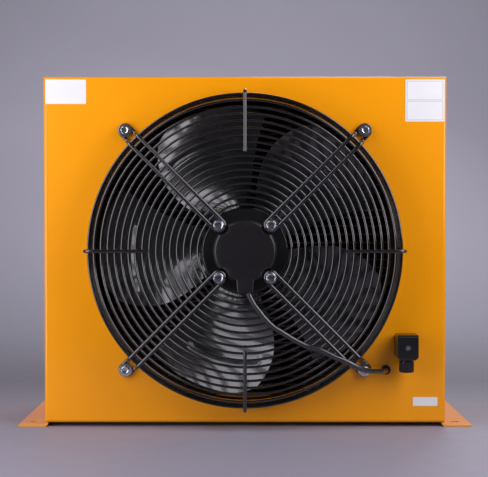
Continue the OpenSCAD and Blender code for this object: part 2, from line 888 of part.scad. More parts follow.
module connector_base() {
    color(black) difference() {
        plug_frame() union() {
            along_y(base_y, -gasket_t) round_rect(plug_w, plug_w, 2);
            translate([0, -gasket_t, 0]) rod_y(base_hole_r - joint_gap, gasket_t + sheet_t + stub_l);
        }
        base_screw_spots() translate([0, base_y - 1, 0]) {
            rod_y(base_screw_r, base_t + 2);
            rod_y(base_screw_r * 2 + 0.2, 3);
        }
        plug_frame() translate([0, base_y - 1, 0]) rod_y(plug_screw_r, plug_screw_in);
        pin_places() translate([-pin_w / 2, base_y - 1, -pin_t / 2])
            cube([pin_w, base_t + gasket_t + sheet_t + stub_l + 2, pin_t]);
    }
}

module connector_pins() {
    color(zinc) pin_places() translate([-pin_w / 2, base_y - pin_out, -pin_t / 2])
        cube([pin_w, pin_out + base_t + gasket_t + sheet_t + stub_l - 1, pin_t]);
}

module connector_screws() {
    color(zinc) base_screw_spots() translate([0, base_y, 0]) {
        translate([0, 0.2, 0]) rod_y(base_screw_r * 2, 1.8);
        rod_y(base_screw_r - screw_gap, base_t + gasket_t + sheet_t + 2);
    }
}

neck_l = 9;
neck_gap = 2;
neck_y = plug_back_y - plug_d / 2;
corner_cut = 4;

// The plug's outline from the front, its lower corners cut
module plug_outline() {
    w = plug_w / 2;
    h = plug_h / 2;
    polygon([[-w, h], [w, h], [w, corner_cut - h], [w - corner_cut, -h],
             [corner_cut - w, -h], [-w, corner_cut - h]]);
}

// The plug's outline from the side, its front edge sloped
module plug_side_outline() {
    h = plug_h / 2;
    slope = 3;
    polygon([[-h, 0], [h, 0], [h, slope - plug_d], [h - slope, -plug_d],
             [slope - h, -plug_d], [-h, slope - plug_d]]);
}

module gland_frame() {
    plug_frame() translate([0, neck_y, -plug_h / 2]) children();
}

module plug_body() {
    slot_gap = 0.25;
    cut = 1;
    color(black) difference() {
        union() {
            plug_frame() translate([0, plug_back_y, 0]) intersection() {
                along_y(-plug_d, 0) plug_outline();
                translate([-plug_w / 2, 0, 0]) rotate([0, 90, 0])
                    linear_extrude(height = plug_w) plug_side_outline();
            }
            gland_frame() translate([0, 0, -neck_l]) cylinder(r = neck_r, h = neck_l + 1);
        }
        plug_frame() translate([0, plug_back_y - plug_d - cut, 0]) rod_y(plug_screw_r + shaft_gap, plug_d + 2);
        plug_frame() translate([0, plug_back_y - plug_d - cut, 0]) rod_y(plug_head_r + 0.2, 2.5 + cut);
        pin_places() translate([-pin_w / 2 - slot_gap, base_y - pin_out - 1, -pin_t / 2 - slot_gap])
            cube([pin_w + 2 * slot_gap, pin_out + 2, pin_t + 2 * slot_gap]);
        gland_frame() translate([0, 0, -neck_l - cut]) cylinder(r = neck_r - 2, h = neck_l + 6 + cut);
    }
}

module plug_gasket() {
    wall = 5;
    color(rubber) plug_frame() along_y(plug_back_y, base_y) difference() {
        round_rect(plug_w - 1, plug_w - 1, 2);
        square(plug_w - 2 * wall, center = true);
    }
}

module plug_screw() {
    color(zinc) plug_frame() translate([0, plug_back_y - plug_d + 0.5, 0]) difference() {
        union() {
            rod_y(plug_head_r, 1.8);
            rod_y(plug_screw_r - shaft_gap, plug_d + 8);
        }
        translate([-3.5, -1, -0.4]) cube([7, 1.7, 0.8]);
    }
}

nut_r = 10;
nut_l = 15;
nut_notches = 10;

module gland_nut() {
    color(black) gland_frame() translate([0, 0, -neck_gap]) difference() {
        translate([0, 0, -nut_l]) rotate_extrude()
            polygon([[gland_bore_r + 0.5, 0], [nut_r - 1.5, 0], [nut_r, 1.5],
                     [nut_r, nut_l], [gland_bore_r + 0.5, nut_l]]);
        translate([0, 0, -neck_l + neck_gap - joint_gap])
            cylinder(r = neck_r + shaft_gap, h = neck_l + 1);
        for (i = [0:nut_notches - 1]) rotate([0, 0, i * 360 / nut_notches])
            translate([nut_r + 0.6, 0, -nut_l - 1]) cylinder(r = 1.6, h = nut_l - 2);
    }
}

module gland_seal() {
    color(rubber) gland_frame() translate([0, 0, -neck_l + 0.5]) difference() {
        cylinder(r = neck_r - 2 - shaft_gap, h = 8);
        translate([0, 0, -1]) cylinder(r = gland_bore_r, h = 10);
    }
}

// ---- Motor cable ----

// The route from the fan frame: out of the motor, over the guard, through the
// grommet, and round behind the panel to the connector's back
cable_route = [
    [2, -45.5, -45], [5.5, -46, -58], [12, -47, -70], [19.5, -47.5, -80], [28.5, -47, -91],
    [38.5, -47.5, -100.5], [49, -47.5, -107], [61, -47, -114.5], [70.5, -47, -120],
    [84, -47.5, -126], [97, -49, -129], [109, -50.5, -134.5], [120.5, -52, -140],
    [132.5, -52.5, -144.5], [144, -51.5, -150], [155, -47, -156], [166, -39, -159.5],
    [176.5, -30.5, -161], [185, -21, -162.5], [191, -8.5, -163], [192, 5, -163],
    [192, 17.5, -163], [190, 30, -166], [186, 41.5, -171], [183, 54, -174.5], [183, 67, -175],
    [186, 80, -171.5], [191, 90, -164.5], [197.5, 96, -156], [205, 98, -145], [213, 95, -134.5],
    [219.5, 87.5, -125.5], [224, 77.5, -119.5], [226, 65, -116.5], [225.5, 52.5, -117.5],
    [222.5, 39.5, -122], [219, 27.5, -127], [217, 16.7, -129]
];
cable_sides = 10;
cable_steps = 2;

// A point of a smooth curve through p1 and p2, at a share t of the way
function on_curve(p0, p1, p2, p3, t) =
    0.5 * (2 * p1 + (p2 - p0) * t + (2 * p0 - 5 * p1 + 4 * p2 - p3) * t * t
           + (3 * p1 - p0 - 3 * p2 + p3) * t * t * t);
function route_point(route, k) = route[min(max(k, 0), len(route) - 1)];
function smooth(route, steps) = concat(
    [for (k = [0:len(route) - 2], i = [0:steps - 1])
        on_curve(route_point(route, k - 1), route[k], route[k + 1], route_point(route, k + 2), i / steps)],
    [route[len(route) - 1]]);
function unit(v) = v / norm(v);
function tangent(line, k) =
    unit(line[min(k + 1, len(line) - 1)] - line[max(k - 1, 0)]);
// Side vectors carried along the line without twist
function carried(line, k, side) =
    let (t = tangent(line, k), s = unit(side - (side * t) * t))
    k == len(line) - 1 ? [s] : concat([s], carried(line, k + 1, s));

module swept_tube(line, r, sides) {
    n = len(line);
    across = carried(line, 0, [1, 0, 0]);
    points = [for (k = [0:n - 1]) let (t = tangent(line, k), u = across[k], v = cross(t, u))
        for (i = [0:sides - 1]) let (a = i * 360 / sides) line[k] + r * (cos(a) * u + sin(a) * v)];
    walls = [for (k = [0:n - 2], i = [0:sides - 1])
        let (a = k * sides + i, b = k * sides + (i + 1) % sides)
        each [[a, a + sides, b + sides], [a, b + sides, b]]];
    ends = concat([for (i = [1:sides - 2]) [0, i, i + 1]],
                  [for (i = [1:sides - 2]) (n - 1) * sides * [1, 1, 1] + [0, i + 1, i]]);
    polyhedron(points = points, faces = concat(walls, ends));
}

module motor_cable() {
    color(black) fan_frame() swept_tube(smooth(cable_route, cable_steps), cable_d / 2, cable_sides);
}

module cable_grommet() {
    lip = 1.8;
    bore_r = cable_d / 2 + joint_gap;
    neck = grommet_hole_r - screw_gap;
    color(rubber) grommet_frame() turned()
        polygon([[bore_r, -lip], [grommet_r - 0.8, -lip],
                 [grommet_r, -lip + 0.8], [grommet_r, 0], [neck, 0], [neck, sheet_t],
                 [grommet_r, sheet_t], [grommet_r - 0.8, sheet_t + lip], [bore_r, sheet_t + lip]]);
}

// ---- Stickers ----

module sticker(centre, size) {
    corner_r = 1.5;
    color(white) translate([centre[0], front_y, centre[1]]) along_y(-sticker_t, 0)
        round_rect(size[0], size[1], corner_r);
}

sticker_side_gap = 3;
sticker_top_gap = 4;
sticker_lower_at = [11, 29];

module label_left() {
    sticker([-panel_w / 2 + sticker_side_gap + sticker_left[0] / 2,
             panel_top - sticker_top_gap - sticker_left[1] / 2], sticker_left);
}

module label_right() {
    sticker([panel_w / 2 - sticker_side_gap - sticker_right[0] / 2,
             panel_top - sticker_top_gap - sticker_right[1] / 2], sticker_right);
}

module label_lower() {
    sticker([panel_w / 2 - sticker_lower_at[0] - sticker_lower[0] / 2,
             floor_gap + sticker_lower_at[1]], sticker_lower);
}

shroud();
side_plate_left();
side_plate_right();
shroud_rivets();
core_bolts();
core_passages();
core_fins();
core_end_bars();
core_side_bars();
tank_left();
tank_right();
tank_caps();
oil_port_lower();
oil_port_upper();
motor_flange();
stator_core();
stator_winding();
bearing_front();
bearing_rear();
rotor_cup();
rotor_cage();
motor_shaft();
impeller_ring();
impeller_blades();
guard_front_rings();
guard_side_rings();
guard_struts();
guard_stubs();
motor_bolts();
motor_washers();
motor_lock_washers();
guard_bolts();
guard_washers();
guard_nuts();
connector_base();
connector_gasket();
connector_screws();
connector_pins();
plug_body();
plug_gasket();
plug_screw();
gland_nut();
gland_seal();
motor_cable();
cable_grommet();
label_left();
label_right();
label_lower();
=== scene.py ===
"""Looks of the air-blast oil cooler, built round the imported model."""

import json
import math

import bmesh
import bpy
from mathutils import Matrix, Vector, noise

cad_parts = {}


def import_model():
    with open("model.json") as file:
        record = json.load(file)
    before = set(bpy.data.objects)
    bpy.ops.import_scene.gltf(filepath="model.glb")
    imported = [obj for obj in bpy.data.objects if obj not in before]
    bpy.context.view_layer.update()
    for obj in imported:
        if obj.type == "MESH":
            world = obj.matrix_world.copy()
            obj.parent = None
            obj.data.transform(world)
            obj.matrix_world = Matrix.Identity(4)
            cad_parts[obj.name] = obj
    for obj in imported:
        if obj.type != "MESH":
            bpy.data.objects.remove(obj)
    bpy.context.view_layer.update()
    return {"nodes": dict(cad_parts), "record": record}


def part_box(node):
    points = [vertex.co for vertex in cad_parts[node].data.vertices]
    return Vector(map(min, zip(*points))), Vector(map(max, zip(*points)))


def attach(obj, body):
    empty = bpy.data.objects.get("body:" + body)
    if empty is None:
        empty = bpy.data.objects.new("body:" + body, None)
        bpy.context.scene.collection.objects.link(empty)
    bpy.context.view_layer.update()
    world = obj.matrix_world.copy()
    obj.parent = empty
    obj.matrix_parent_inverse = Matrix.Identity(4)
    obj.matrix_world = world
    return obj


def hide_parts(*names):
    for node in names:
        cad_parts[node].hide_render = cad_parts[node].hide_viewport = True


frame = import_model()
nodes = frame["nodes"]
scene = bpy.context.scene
scene.view_settings.view_transform = "Standard"

# ---- Sizes, in millimetres, as in the part's source ----

MM = 0.001
FRONT_Y, FAN_Z = -105.0, 241.5  # the panel's front face, and the fan's axis above the floor
HOLE_R, ROOT_R, TIP_R = 205.0, 54.7, 197.0  # the fan hole, and the blades from root to tip
FLANGE_R, FLANGE_T, PLATE_R, PLATE_H = 58.0, 8.0, 42.0, 10.5  # the motor's flange and nameplate disc
MOTOR_BOLT, GUARD_BOLT = 34.5, 162.25  # each bolt's place, across and up from the fan's axis
RING_D, STRUT_D, GUARD_H = 3.5, 5.0, 41.0  # wire of rings and struts, and how far the front rings stand out
RING_IN, RING_OUT, RING_COUNT = 62.3, 199.9, 16  # the front rings: least and greatest radius, and number
SIDE_R, SIDE_COUNT = 208.5, 4  # the rings of the guard's side band: radius and number
SEAT = 0.05  # gap between wires that touch
PAD_H = 5.0  # the flange's bolt pads stand out by this
STRUT_Y = -(GUARD_H + RING_D / 2 + SEAT + STRUT_D / 2)
FLANGE_Y = STRUT_Y + STRUT_D / 2 + PAD_H
LEG_R = SIDE_R + RING_D / 2 + STRUT_D / 2 + SEAT
EYELET_Y = -(STRUT_D / 2 + SEAT)
LOOP_R, BEND_R, FOOT_BEND, STUB_IN = 7.65, 8.0, 6.0, 132.0  # bends of the struts, and where the stubs start
CORE_Y0, CORE_Y1, CORE_Z0, CORE_Z1 = 33.0, 97.0, 8.3, 474.7
TANK_X, PLATE_X = 224.0, 269.0  # inner faces of the tanks and of the side plates
PORTS = {"oil_port_lower": (-246.5, 70.3), "oil_port_upper": (246.5, 412.7)}
GROMMET_X, GROMMET_Z = 192.0, -163.0  # from the fan's axis


def fan(x, y, z):
    """A point of the fan frame, the panel's front face at the fan's axis, in metres."""
    return Vector((x * MM, (FRONT_Y + y) * MM, (FAN_Z + z) * MM))


def world(x, y, z):
    """A point of the shared frame, in metres."""
    return Vector((x * MM, y * MM, z * MM))


# ---- Camera ----

camera = bpy.data.objects.new("camera", bpy.data.cameras.new("camera"))
scene.collection.objects.link(camera)
CAMERA_PLACE = (0.0, -1.605, 0.292)
DOWNWARD, LEFTWARD = math.radians(1.32), math.radians(0.05)
camera.location = CAMERA_PLACE
camera.rotation_euler = (math.radians(90) - DOWNWARD, 0.0, LEFTWARD)
camera.data.sensor_width = 36.0
camera.data.lens = 81.4
scene.camera = camera

# ---- Material kit ----

SURFACE_IOR = 1.5


class Look:
    """A node material: a Principled shader with colour, roughness and bump from object-space textures."""

    def __init__(self, name, metallic=0.0, coat=0.0, coat_rough=0.1, specular=0.5):
        self.mat = bpy.data.materials.new(name)
        self.mat.use_nodes = True
        self.tree = self.mat.node_tree
        self.shader = self.tree.nodes["Principled BSDF"]
        self.shader.inputs["Metallic"].default_value = metallic
        self.shader.inputs["Coat Weight"].default_value = coat
        self.shader.inputs["Coat Roughness"].default_value = coat_rough
        self.shader.inputs["Specular IOR Level"].default_value = specular
        self.shader.inputs["IOR"].default_value = SURFACE_IOR
        self.coords = self.node("ShaderNodeTexCoord").outputs["Object"]
        self.height = None

    def node(self, kind, **settings):
        made = self.tree.nodes.new(kind)
        for key, value in settings.items():
            setattr(made, key, value)
        return made

    def link(self, a, b):
        self.tree.links.new(a, b)

    def stretched(self, scale):
        mapping = self.node("ShaderNodeMapping")
        mapping.inputs["Scale"].default_value = scale
        self.link(self.coords, mapping.inputs["Vector"])
        return mapping.outputs["Vector"]

    def noise(self, size_mm, detail, rough=0.5, stretch=(1, 1, 1), distortion=0.0):
        """Noise whose features are about size_mm across."""
        made = self.node("ShaderNodeTexNoise")
        made.inputs["Scale"].default_value = 1000.0 / size_mm
        made.inputs["Detail"].default_value = detail
        made.inputs["Roughness"].default_value = rough
        made.inputs["Distortion"].default_value = distortion
        self.link(self.stretched(stretch), made.inputs["Vector"])
        return made.outputs["Fac"]

    def cells(self, size_mm):
        """Cells about size_mm across."""
        made = self.node("ShaderNodeTexVoronoi")
        made.inputs["Scale"].default_value = 1000.0 / size_mm
        self.link(self.coords, made.inputs["Vector"])
        return made.outputs["Distance"]

    def ramp(self, fac, low, high, start=0.3, stop=0.7):
        """Maps fac from start..stop to low..high, which are numbers."""
        made = self.node("ShaderNodeMapRange")
        made.inputs["From Min"].default_value = start
        made.inputs["From Max"].default_value = stop
        made.inputs["To Min"].default_value = low
        made.inputs["To Max"].default_value = high
        self.link(fac, made.inputs["Value"])
        return made.outputs["Result"]

    def colours(self, fac, stops):
        """A colour ramp of (place, rgb) stops."""
        made = self.node("ShaderNodeValToRGB")
        ramp = made.color_ramp
        while len(ramp.elements) < len(stops):
            ramp.elements.new(0.5)
        for element, (place, rgb) in zip(ramp.elements, stops):
            element.position = place
            element.color = (*rgb, 1.0)
        self.link(fac, made.inputs["Fac"])
        return made.outputs["Color"]

    def mixed(self, fac, a, b):
        """Colour a where fac is 0 and b where it is 1. a is a socket, and b a socket or rgb."""
        made = self.node("ShaderNodeMix", data_type="RGBA")
        self.link(fac, made.inputs["Factor"])
        self.link(a, made.inputs["A"])
        if isinstance(b, tuple):
            made.inputs["B"].default_value = (*b, 1.0)
        else:
            self.link(b, made.inputs["B"])
        return made.outputs["Result"]

    def maths(self, operation, a, b):
        made = self.node("ShaderNodeMath", operation=operation)
        for k, value in enumerate((a, b)):
            if isinstance(value, (int, float)):
                made.inputs[k].default_value = value
            else:
                self.link(value, made.inputs[k])
        return made.outputs["Value"]

    def colour(self, socket):
        self.link(socket, self.shader.inputs["Base Color"])

    def two_tone(self, fac, first, second, low=0.3, high=0.7):
        """A base colour that runs from one rgb to another while fac runs from low to high."""
        self.colour(self.colours(fac, [(low, first), (high, second)]))

    def split(self):
        """Sockets of the object's own X, Y and Z."""
        made = self.node("ShaderNodeSeparateXYZ")
        self.link(self.coords, made.inputs["Vector"])
        return (made.outputs[axis] for axis in "XYZ")

    def roughness(self, socket):
        self.link(socket, self.shader.inputs["Roughness"])

    def bump(self, height, depth_mm):
        """Adds relief. depth_mm is the relief's real depth."""
        made = self.node("ShaderNodeBump")
        made.inputs["Strength"].default_value = 1.0
        made.inputs["Distance"].default_value = depth_mm * MM
        self.link(height, made.inputs["Height"])
        if self.height is not None:
            self.link(self.height, made.inputs["Normal"])
        self.height = made.outputs["Normal"]
        self.link(self.height, self.shader.inputs["Normal"])


def powder_coat():
    """Yellow powder coat with a fine orange peel. Behind its rolled lip, the fan hole's collar gets painted
    shade: a near-black colour.
    """
    look = Look("powder_coat_yellow", coat=0.6, coat_rough=0.14, specular=0.08)
    tone = look.colours(look.noise(140, 2.0), [(0.3, (0.87, 0.318, 0.001)), (0.7, (0.91, 0.338, 0.0015))])
    specks = look.ramp(look.noise(3.0, 1.0), 0.0, 0.05, 0.35, 0.7)
    clean = look.mixed(specks, tone, (0.62, 0.20, 0.0))
    x, y, z = look.split()
    up = look.maths("SUBTRACT", z, FAN_Z * MM)
    squares = look.maths("ADD", look.maths("MULTIPLY", x, x), look.maths("MULTIPLY", up, up))
    reach = look.maths("POWER", squares, 0.5)
    inside = look.ramp(reach, 1.0, 0.0, (HOLE_R + 0.6) * MM, (HOLE_R + 1.8) * MM)
    behind = look.ramp(y, 0.0, 1.0, (FRONT_Y + 2.6) * MM, (FRONT_Y + 4.2) * MM)
    # painted shade: the collar's wall inside the hole and behind the lip is coloured near-black, as if in
    # shade
    collar_shade = (0.022, 0.012, 0.006)
    look.colour(look.mixed(look.maths("MULTIPLY", inside, behind), clean, collar_shade))
    look.roughness(look.ramp(look.noise(9, 3.0), 0.34, 0.44))
    look.bump(look.noise(1.6, 1.5), 0.03)
    look.bump(look.noise(7, 1.0), 0.04)
    return look.mat


def gloss_black(name, base, rough, grain_mm, depth, coat=0.6, coat_rough=0.12):
    """Black lacquer with a faint blue cast."""
    look = Look(name, coat=coat, coat_rough=coat_rough)
    worn = (base * 1.7, base * 1.65, base * 1.9)
    look.two_tone(look.noise(40, 3.0), (base, base, base * 1.15), worn, high=0.75)
    look.roughness(look.ramp(look.noise(14, 4.0), *rough))
    look.bump(look.noise(grain_mm, 1.5), depth)
    return look.mat


def nameplate_black():
    look = Look("nameplate_satin", coat=0.15, coat_rough=0.3, specular=0.4)
    look.two_tone(look.noise(30, 3.0), (0.0045, 0.0036, 0.0045), (0.0065, 0.0052, 0.0065))
    look.roughness(look.ramp(look.noise(0.8, 2.0), 0.32, 0.46))
    look.bump(look.noise(0.5, 2.0), 0.02)
    return look.mat


def zinc_plate():
    look = Look("zinc_plate", metallic=1.0)
    blue, silver, warm = (0.52, 0.55, 0.64), (0.62, 0.64, 0.70), (0.66, 0.65, 0.62)
    look.colour(look.colours(look.noise(6, 3.0), [(0.25, blue), (0.5, silver), (0.75, warm)]))
    look.roughness(look.ramp(look.noise(1.2, 3.0), 0.09, 0.22))
    look.bump(look.noise(0.35, 2.0), 0.012)
    return look.mat


def ground_steel():
    look = Look("ground_steel", metallic=1.0)
    look.two_tone(look.noise(5, 3.0), (0.42, 0.42, 0.44), (0.52, 0.52, 0.53))
    look.roughness(look.ramp(look.noise(0.6, 2.0, stretch=(1, 12, 1)), 0.2, 0.4))
    look.bump(look.noise(0.3, 1.0, stretch=(1, 14, 1)), 0.008)
    return look.mat


def laminations():
    look = Look("laminations", metallic=1.0)
    sheets = look.noise(0.5, 0.0, stretch=(0.02, 1, 0.02))
    look.two_tone(sheets, (0.16, 0.16, 0.18), (0.34, 0.34, 0.37), 0.35, 0.6)
    look.roughness(look.ramp(sheets, 0.35, 0.6))
    look.bump(sheets, 0.08)
    return look.mat


def copper_wire():
    look = Look("enamelled_copper", metallic=0.8, coat=0.6, coat_rough=0.1)
    wire = look.noise(0.7, 0.0, stretch=(0.1, 1, 0.1), distortion=0.4)
    look.two_tone(wire, (0.24, 0.06, 0.02), (0.56, 0.20, 0.08), 0.35, 0.6)
    look.roughness(look.ramp(wire, 0.22, 0.4))
    look.bump(wire, 0.2)
    return look.mat


def mill_aluminium(name="brazed_aluminium", tone=0.56, rough=(0.34, 0.55), streak=(1, 1, 8)):
    look = Look(name, metallic=1.0)
    bloom = look.noise(26, 4.0, 0.6)
    look.two_tone(bloom, (tone * 0.86, tone * 0.87, tone * 0.89), (tone, tone, tone * 1.01))
    drawn = look.noise(1.2, 2.0, stretch=streak)
    mean = look.maths("MULTIPLY", look.maths("ADD", bloom, drawn), 0.5)
    look.roughness(look.ramp(mean, *rough))
    look.bump(drawn, 0.02)
    return look.mat


# Fin sheet toned dark grey, far darker than bare aluminium.
def fin_sheet():
    look = Look("fin_sheet", metallic=1.0)
    look.two_tone(look.noise(40, 4.0, 0.65), (0.16, 0.163, 0.17), (0.22, 0.22, 0.23), high=0.72)
    look.roughness(look.ramp(look.noise(1.5, 2.0, stretch=(1, 0.15, 1)), 0.42, 0.58))
    look.bump(look.noise(0.8, 2.0, stretch=(1, 0.15, 1)), 0.01)
    return look.mat


def moulded_black():
    """Black plastic with a finely eroded mould finish."""
    look = Look("moulded_polyamide")
    look.two_tone(look.noise(12, 2.0), (0.006, 0.006, 0.0063), (0.0081, 0.0081, 0.0084))
    look.roughness(look.ramp(look.noise(1.0, 2.0), 0.17, 0.26))
    look.bump(look.cells(0.45), 0.02)
    return look.mat


def seal_rubber():
    look = Look("seal_rubber", specular=0.35)
    look.two_tone(look.noise(4, 3.0), (0.018, 0.018, 0.018), (0.030, 0.030, 0.030))
    look.roughness(look.ramp(look.noise(2.0, 3.0), 0.45, 0.65))
    look.bump(look.noise(0.4, 2.0), 0.03)
    return look.mat


def cable_sheath():
    look = Look("cable_sheath", coat=1.0, coat_rough=0.06)
    look.two_tone(look.noise(30, 3.0), (0.011, 0.011, 0.014), (0.017, 0.017, 0.020))
    look.roughness(look.ramp(look.noise(5, 3.0), 0.24, 0.36))
    look.bump(look.noise(2.4, 1.5), 0.03)
    return look.mat


def label_film():
    look = Look("label_film", coat=0.3, coat_rough=0.25)
    look.two_tone(look.noise(18, 3.0), (0.76, 0.76, 0.77), (0.79, 0.79, 0.79))
    look.roughness(look.ramp(look.noise(3, 2.0), 0.3, 0.42))
    look.bump(look.noise(9, 2.0), 0.03)
    return look.mat


def label_rule():
    look = Look("label_rule")
    look.two_tone(look.noise(6, 2.0), (0.30, 0.31, 0.33), (0.36, 0.37, 0.39))
    look.roughness(look.ramp(look.noise(2, 2.0), 0.35, 0.5))
    look.bump(look.noise(1, 2.0), 0.01)
    return look.mat


def tin_contact():
    look = Look("tin_contact", metallic=1.0)
    look.two_tone(look.noise(3, 3.0), (0.60, 0.59, 0.56), (0.70, 0.69, 0.66))
    look.roughness(look.ramp(look.noise(0.8, 2.0), 0.2, 0.34))
    look.bump(look.noise(0.4, 1.0), 0.01)
    return look.mat


PAINT = powder_coat()
MOTOR = gloss_black("motor_lacquer", 0.0030, (0.14, 0.24), 1.6, 0.02)
BLADE = gloss_black("blade_coat", 0.005, (0.15, 0.18), 1.4, 0.003, coat=1.0, coat_rough=0.07)
WIRE = gloss_black("wire_coat", 0.004, (0.08, 0.13), 3.0, 0.006, coat=1.0, coat_rough=0.03)
PLATE = nameplate_black()
ZINC = zinc_plate()
STEEL = ground_steel()
LAMINATION = laminations()
COPPER = copper_wire()
ALLOY = mill_aluminium()
# The core's plates are toned dark grey, far darker than bare aluminium, and rough.
CORE = mill_aluminium("core_plate", 0.14, (0.5, 0.66), (8, 1, 1))
CAGE = mill_aluminium("cast_cage", 0.42, (0.42, 0.62), (1, 1, 1))
FIN = fin_sheet()
PLASTIC = moulded_black()
RUBBER = seal_rubber()
SHEATH = cable_sheath()
LABEL = label_film()
RULE = label_rule()
CONTACT = tin_contact()

NODE_LOOKS = {
    "panel_paint": PAINT, "zinc": ZINC, "core_alloy": ALLOY, "fin_alloy": FIN, "motor_black": MOTOR,
    "lamination_steel": LAMINATION, "copper": COPPER, "bearing_steel": STEEL, "cage_alloy": CAGE,
    "fan_black": BLADE, "guard_black": WIRE, "connector_plastic": PLASTIC, "seal_rubber": RUBBER,
    "contact_metal": CONTACT, "cable_sheath": SHEATH, "label_white": LABEL,
}
# nodes that take the dark grey core look in place of their slot's look
DARK_DULL_CORE = ("core_passages", "core_end_bars")
node_slot = {s["node"]: s["material_slot"] for s in frame["record"]["subparts"]}
for name, obj in nodes.items():
    obj.data.materials.clear()
    obj.data.materials.append(CORE if name in DARK_DULL_CORE else NODE_LOOKS[node_slot[name]])

# ---- Mesh kit ----

SHARP = 32.0  # edges that bend more than this, in degrees, are shaded as sharp
SOFT_ANGLE = math.radians(30.0)  # edges that bend more than this are bevelled
MERGE = 2e-6  # points closer than this, in metres, are one


def turn_angles(count):
    """Angles of a full turn in equal steps."""
    return [2 * math.pi * k / count for k in range(count)]


class Shape:
    """Gathers points and faces, in metres, for one piece."""

    def __init__(self):
        self.points, self.faces = [], []

    def add(self, points, faces):
        base = len(self.points)
        self.points.extend(points)
        self.faces.extend([tuple(i + base for i in f) for f in faces])

    def grid(self, rows, close_rows=False, close_cols=False):
        """Quads over rows of points, all of one length."""
        m, n = len(rows), len(rows[0])
        faces = []
        for j in range(m if close_rows else m - 1):
            for i in range(n if close_cols else n - 1):
                a, b = j * n + i, j * n + (i + 1) % n
                c, d = ((j + 1) % m) * n + (i + 1) % n, ((j + 1) % m) * n + i
                faces.append((a, b, c, d))
        self.add([p for row in rows for p in row], faces)

    def turned(self, profile, place, steps, closed=False):
        """A profile of (radius, depth) in mm turned round the local +Y axis, then placed."""
        rows = [[place @ Vector((r * math.cos(a) * MM, y * MM, r * math.sin(a) * MM)) for r, y in profile]
                for a in turn_angles(steps)]
        self.grid(rows, close_rows=True, close_cols=closed)

    def tube(self, path, radius, sides, closed=False):
        """A round wire of a radius in mm along a path of points in metres, its open ends slightly domed."""
        n = len(path)
        side = None
        rows = []
        for k in range(n):
            before = path[k - 1 if k or closed else 0]
            after = path[(k + 1) % n if closed else min(k + 1, n - 1)]
            t = (after - before).normalized()
            if side is None:
                side = t.orthogonal()
            side = (side - side.dot(t) * t).normalized()
            up = t.cross(side)
            rows.append([path[k] + radius * MM * (math.cos(a) * side + math.sin(a) * up)
                         for a in turn_angles(sides)])
        if closed:
            twist = min(range(sides), key=lambda s: (rows[-1][s] - rows[0][0]).length)
            rows.append([rows[0][(i - twist) % sides] for i in range(sides)])
        self.grid(rows, close_cols=True)
        if not closed:
            self.dome(rows[0], path[0], (path[0] - path[1]).normalized() * radius * MM)
            self.dome(rows[-1], path[-1], (path[-1] - path[-2]).normalized() * radius * MM)
        return self

    def dome(self, rim, end, out):
        """Closes a wire's end with a low dome. out is one radius along the wire."""
        inner = [end + (p - end) * 0.6 + out * 0.22 for p in rim]
        self.grid([rim, inner], close_cols=True)
        sides = len(rim)
        self.add(inner + [end + out * 0.3], [(i, (i + 1) % sides, sides) for i in range(sides)])

    def box(self, low, high):
        """A box between two corners in mm."""
        xs, ys, zs = zip(low, high)
        pts = [world(x, y, z) for x in xs for y in ys for z in zs]
        self.add(pts, [(0, 1, 3, 2), (4, 6, 7, 5), (0, 4, 5, 1), (2, 3, 7, 6), (0, 2, 6, 4), (1, 5, 7, 3)])

    def mesh(self, name):
        made = bpy.data.meshes.new(name)
        made.from_pydata([tuple(p) for p in self.points], [], self.faces)
        return made


def made(name, shape, material, body, slot, stands_for=(), sharp=SHARP, weld=True):
    """Turns a Shape into a piece that rides on a body."""
    mesh = shape.mesh(name)
    if weld:
        bm = bmesh.new()
        bm.from_mesh(mesh)
        bmesh.ops.remove_doubles(bm, verts=bm.verts, dist=MERGE)
        bmesh.ops.recalc_face_normals(bm, faces=bm.faces)
        bm.to_mesh(mesh)
        bm.free()
    return piece(name, mesh, material, body, stands_for, sharp)


def piece(name, mesh, material, body, stands_for, sharp):
    """Puts a mesh on a body, in the place of the CAD nodes that it stands for."""
    mesh.polygons.foreach_set("use_smooth", [True] * len(mesh.polygons))
    mesh.set_sharp_from_angle(angle=math.radians(sharp))
    obj = bpy.data.objects.new(name, mesh)
    scene.collection.objects.link(obj)
    mesh.materials.append(material)
    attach(obj, body)
    if stands_for:
        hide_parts(*stands_for)
    return obj


def bevelled(bm, width_mm, segments):
    """Bevels the sharp edges of a bmesh."""
    edges = [e for e in bm.edges if e.is_manifold and e.calc_face_angle(0) > SOFT_ANGLE]
    bmesh.ops.bevel(bm, geom=edges, offset=width_mm * MM, segments=segments, profile=0.5, affect="EDGES",
                    clamp_overlap=True)


def spoke(angle, x, y, z):
    """A point of the spoke at an angle, counter-clockwise from the front. x runs along it, z across it."""
    a = math.radians(angle)
    return fan(x * math.cos(a) - z * math.sin(a), y, x * math.sin(a) + z * math.cos(a))


def arc(cx, cy, r, a0, a1, steps):
    """Points of an arc from a0 to a1 in degrees, both ends among them."""
    turn = [math.radians(a0 + (a1 - a0) * k / steps) for k in range(steps + 1)]
    return [(cx + r * math.cos(a), cy + r * math.sin(a)) for a in turn]


def rounded(points, radius):
    """A profile of (r, y) points, every corner but its two ends rounded by a curve in three steps."""
    steps = 3
    out = [points[0]]
    for k in range(1, len(points) - 1):
        p, q, s = (Vector(points[k + d]) for d in (-1, 0, 1))
        a, b = (p - q), (s - q)
        cut = min(radius, a.length / 2.2, b.length / 2.2)
        a, b = q + a.normalized() * cut, q + b.normalized() * cut
        for i in range(steps + 1):
            t = i / steps
            point = a * (1 - t) ** 2 + q * 2 * t * (1 - t) + b * t * t
            out.append((point.x, point.y))
    return out + [points[-1]]


# ---- Motor cable ----

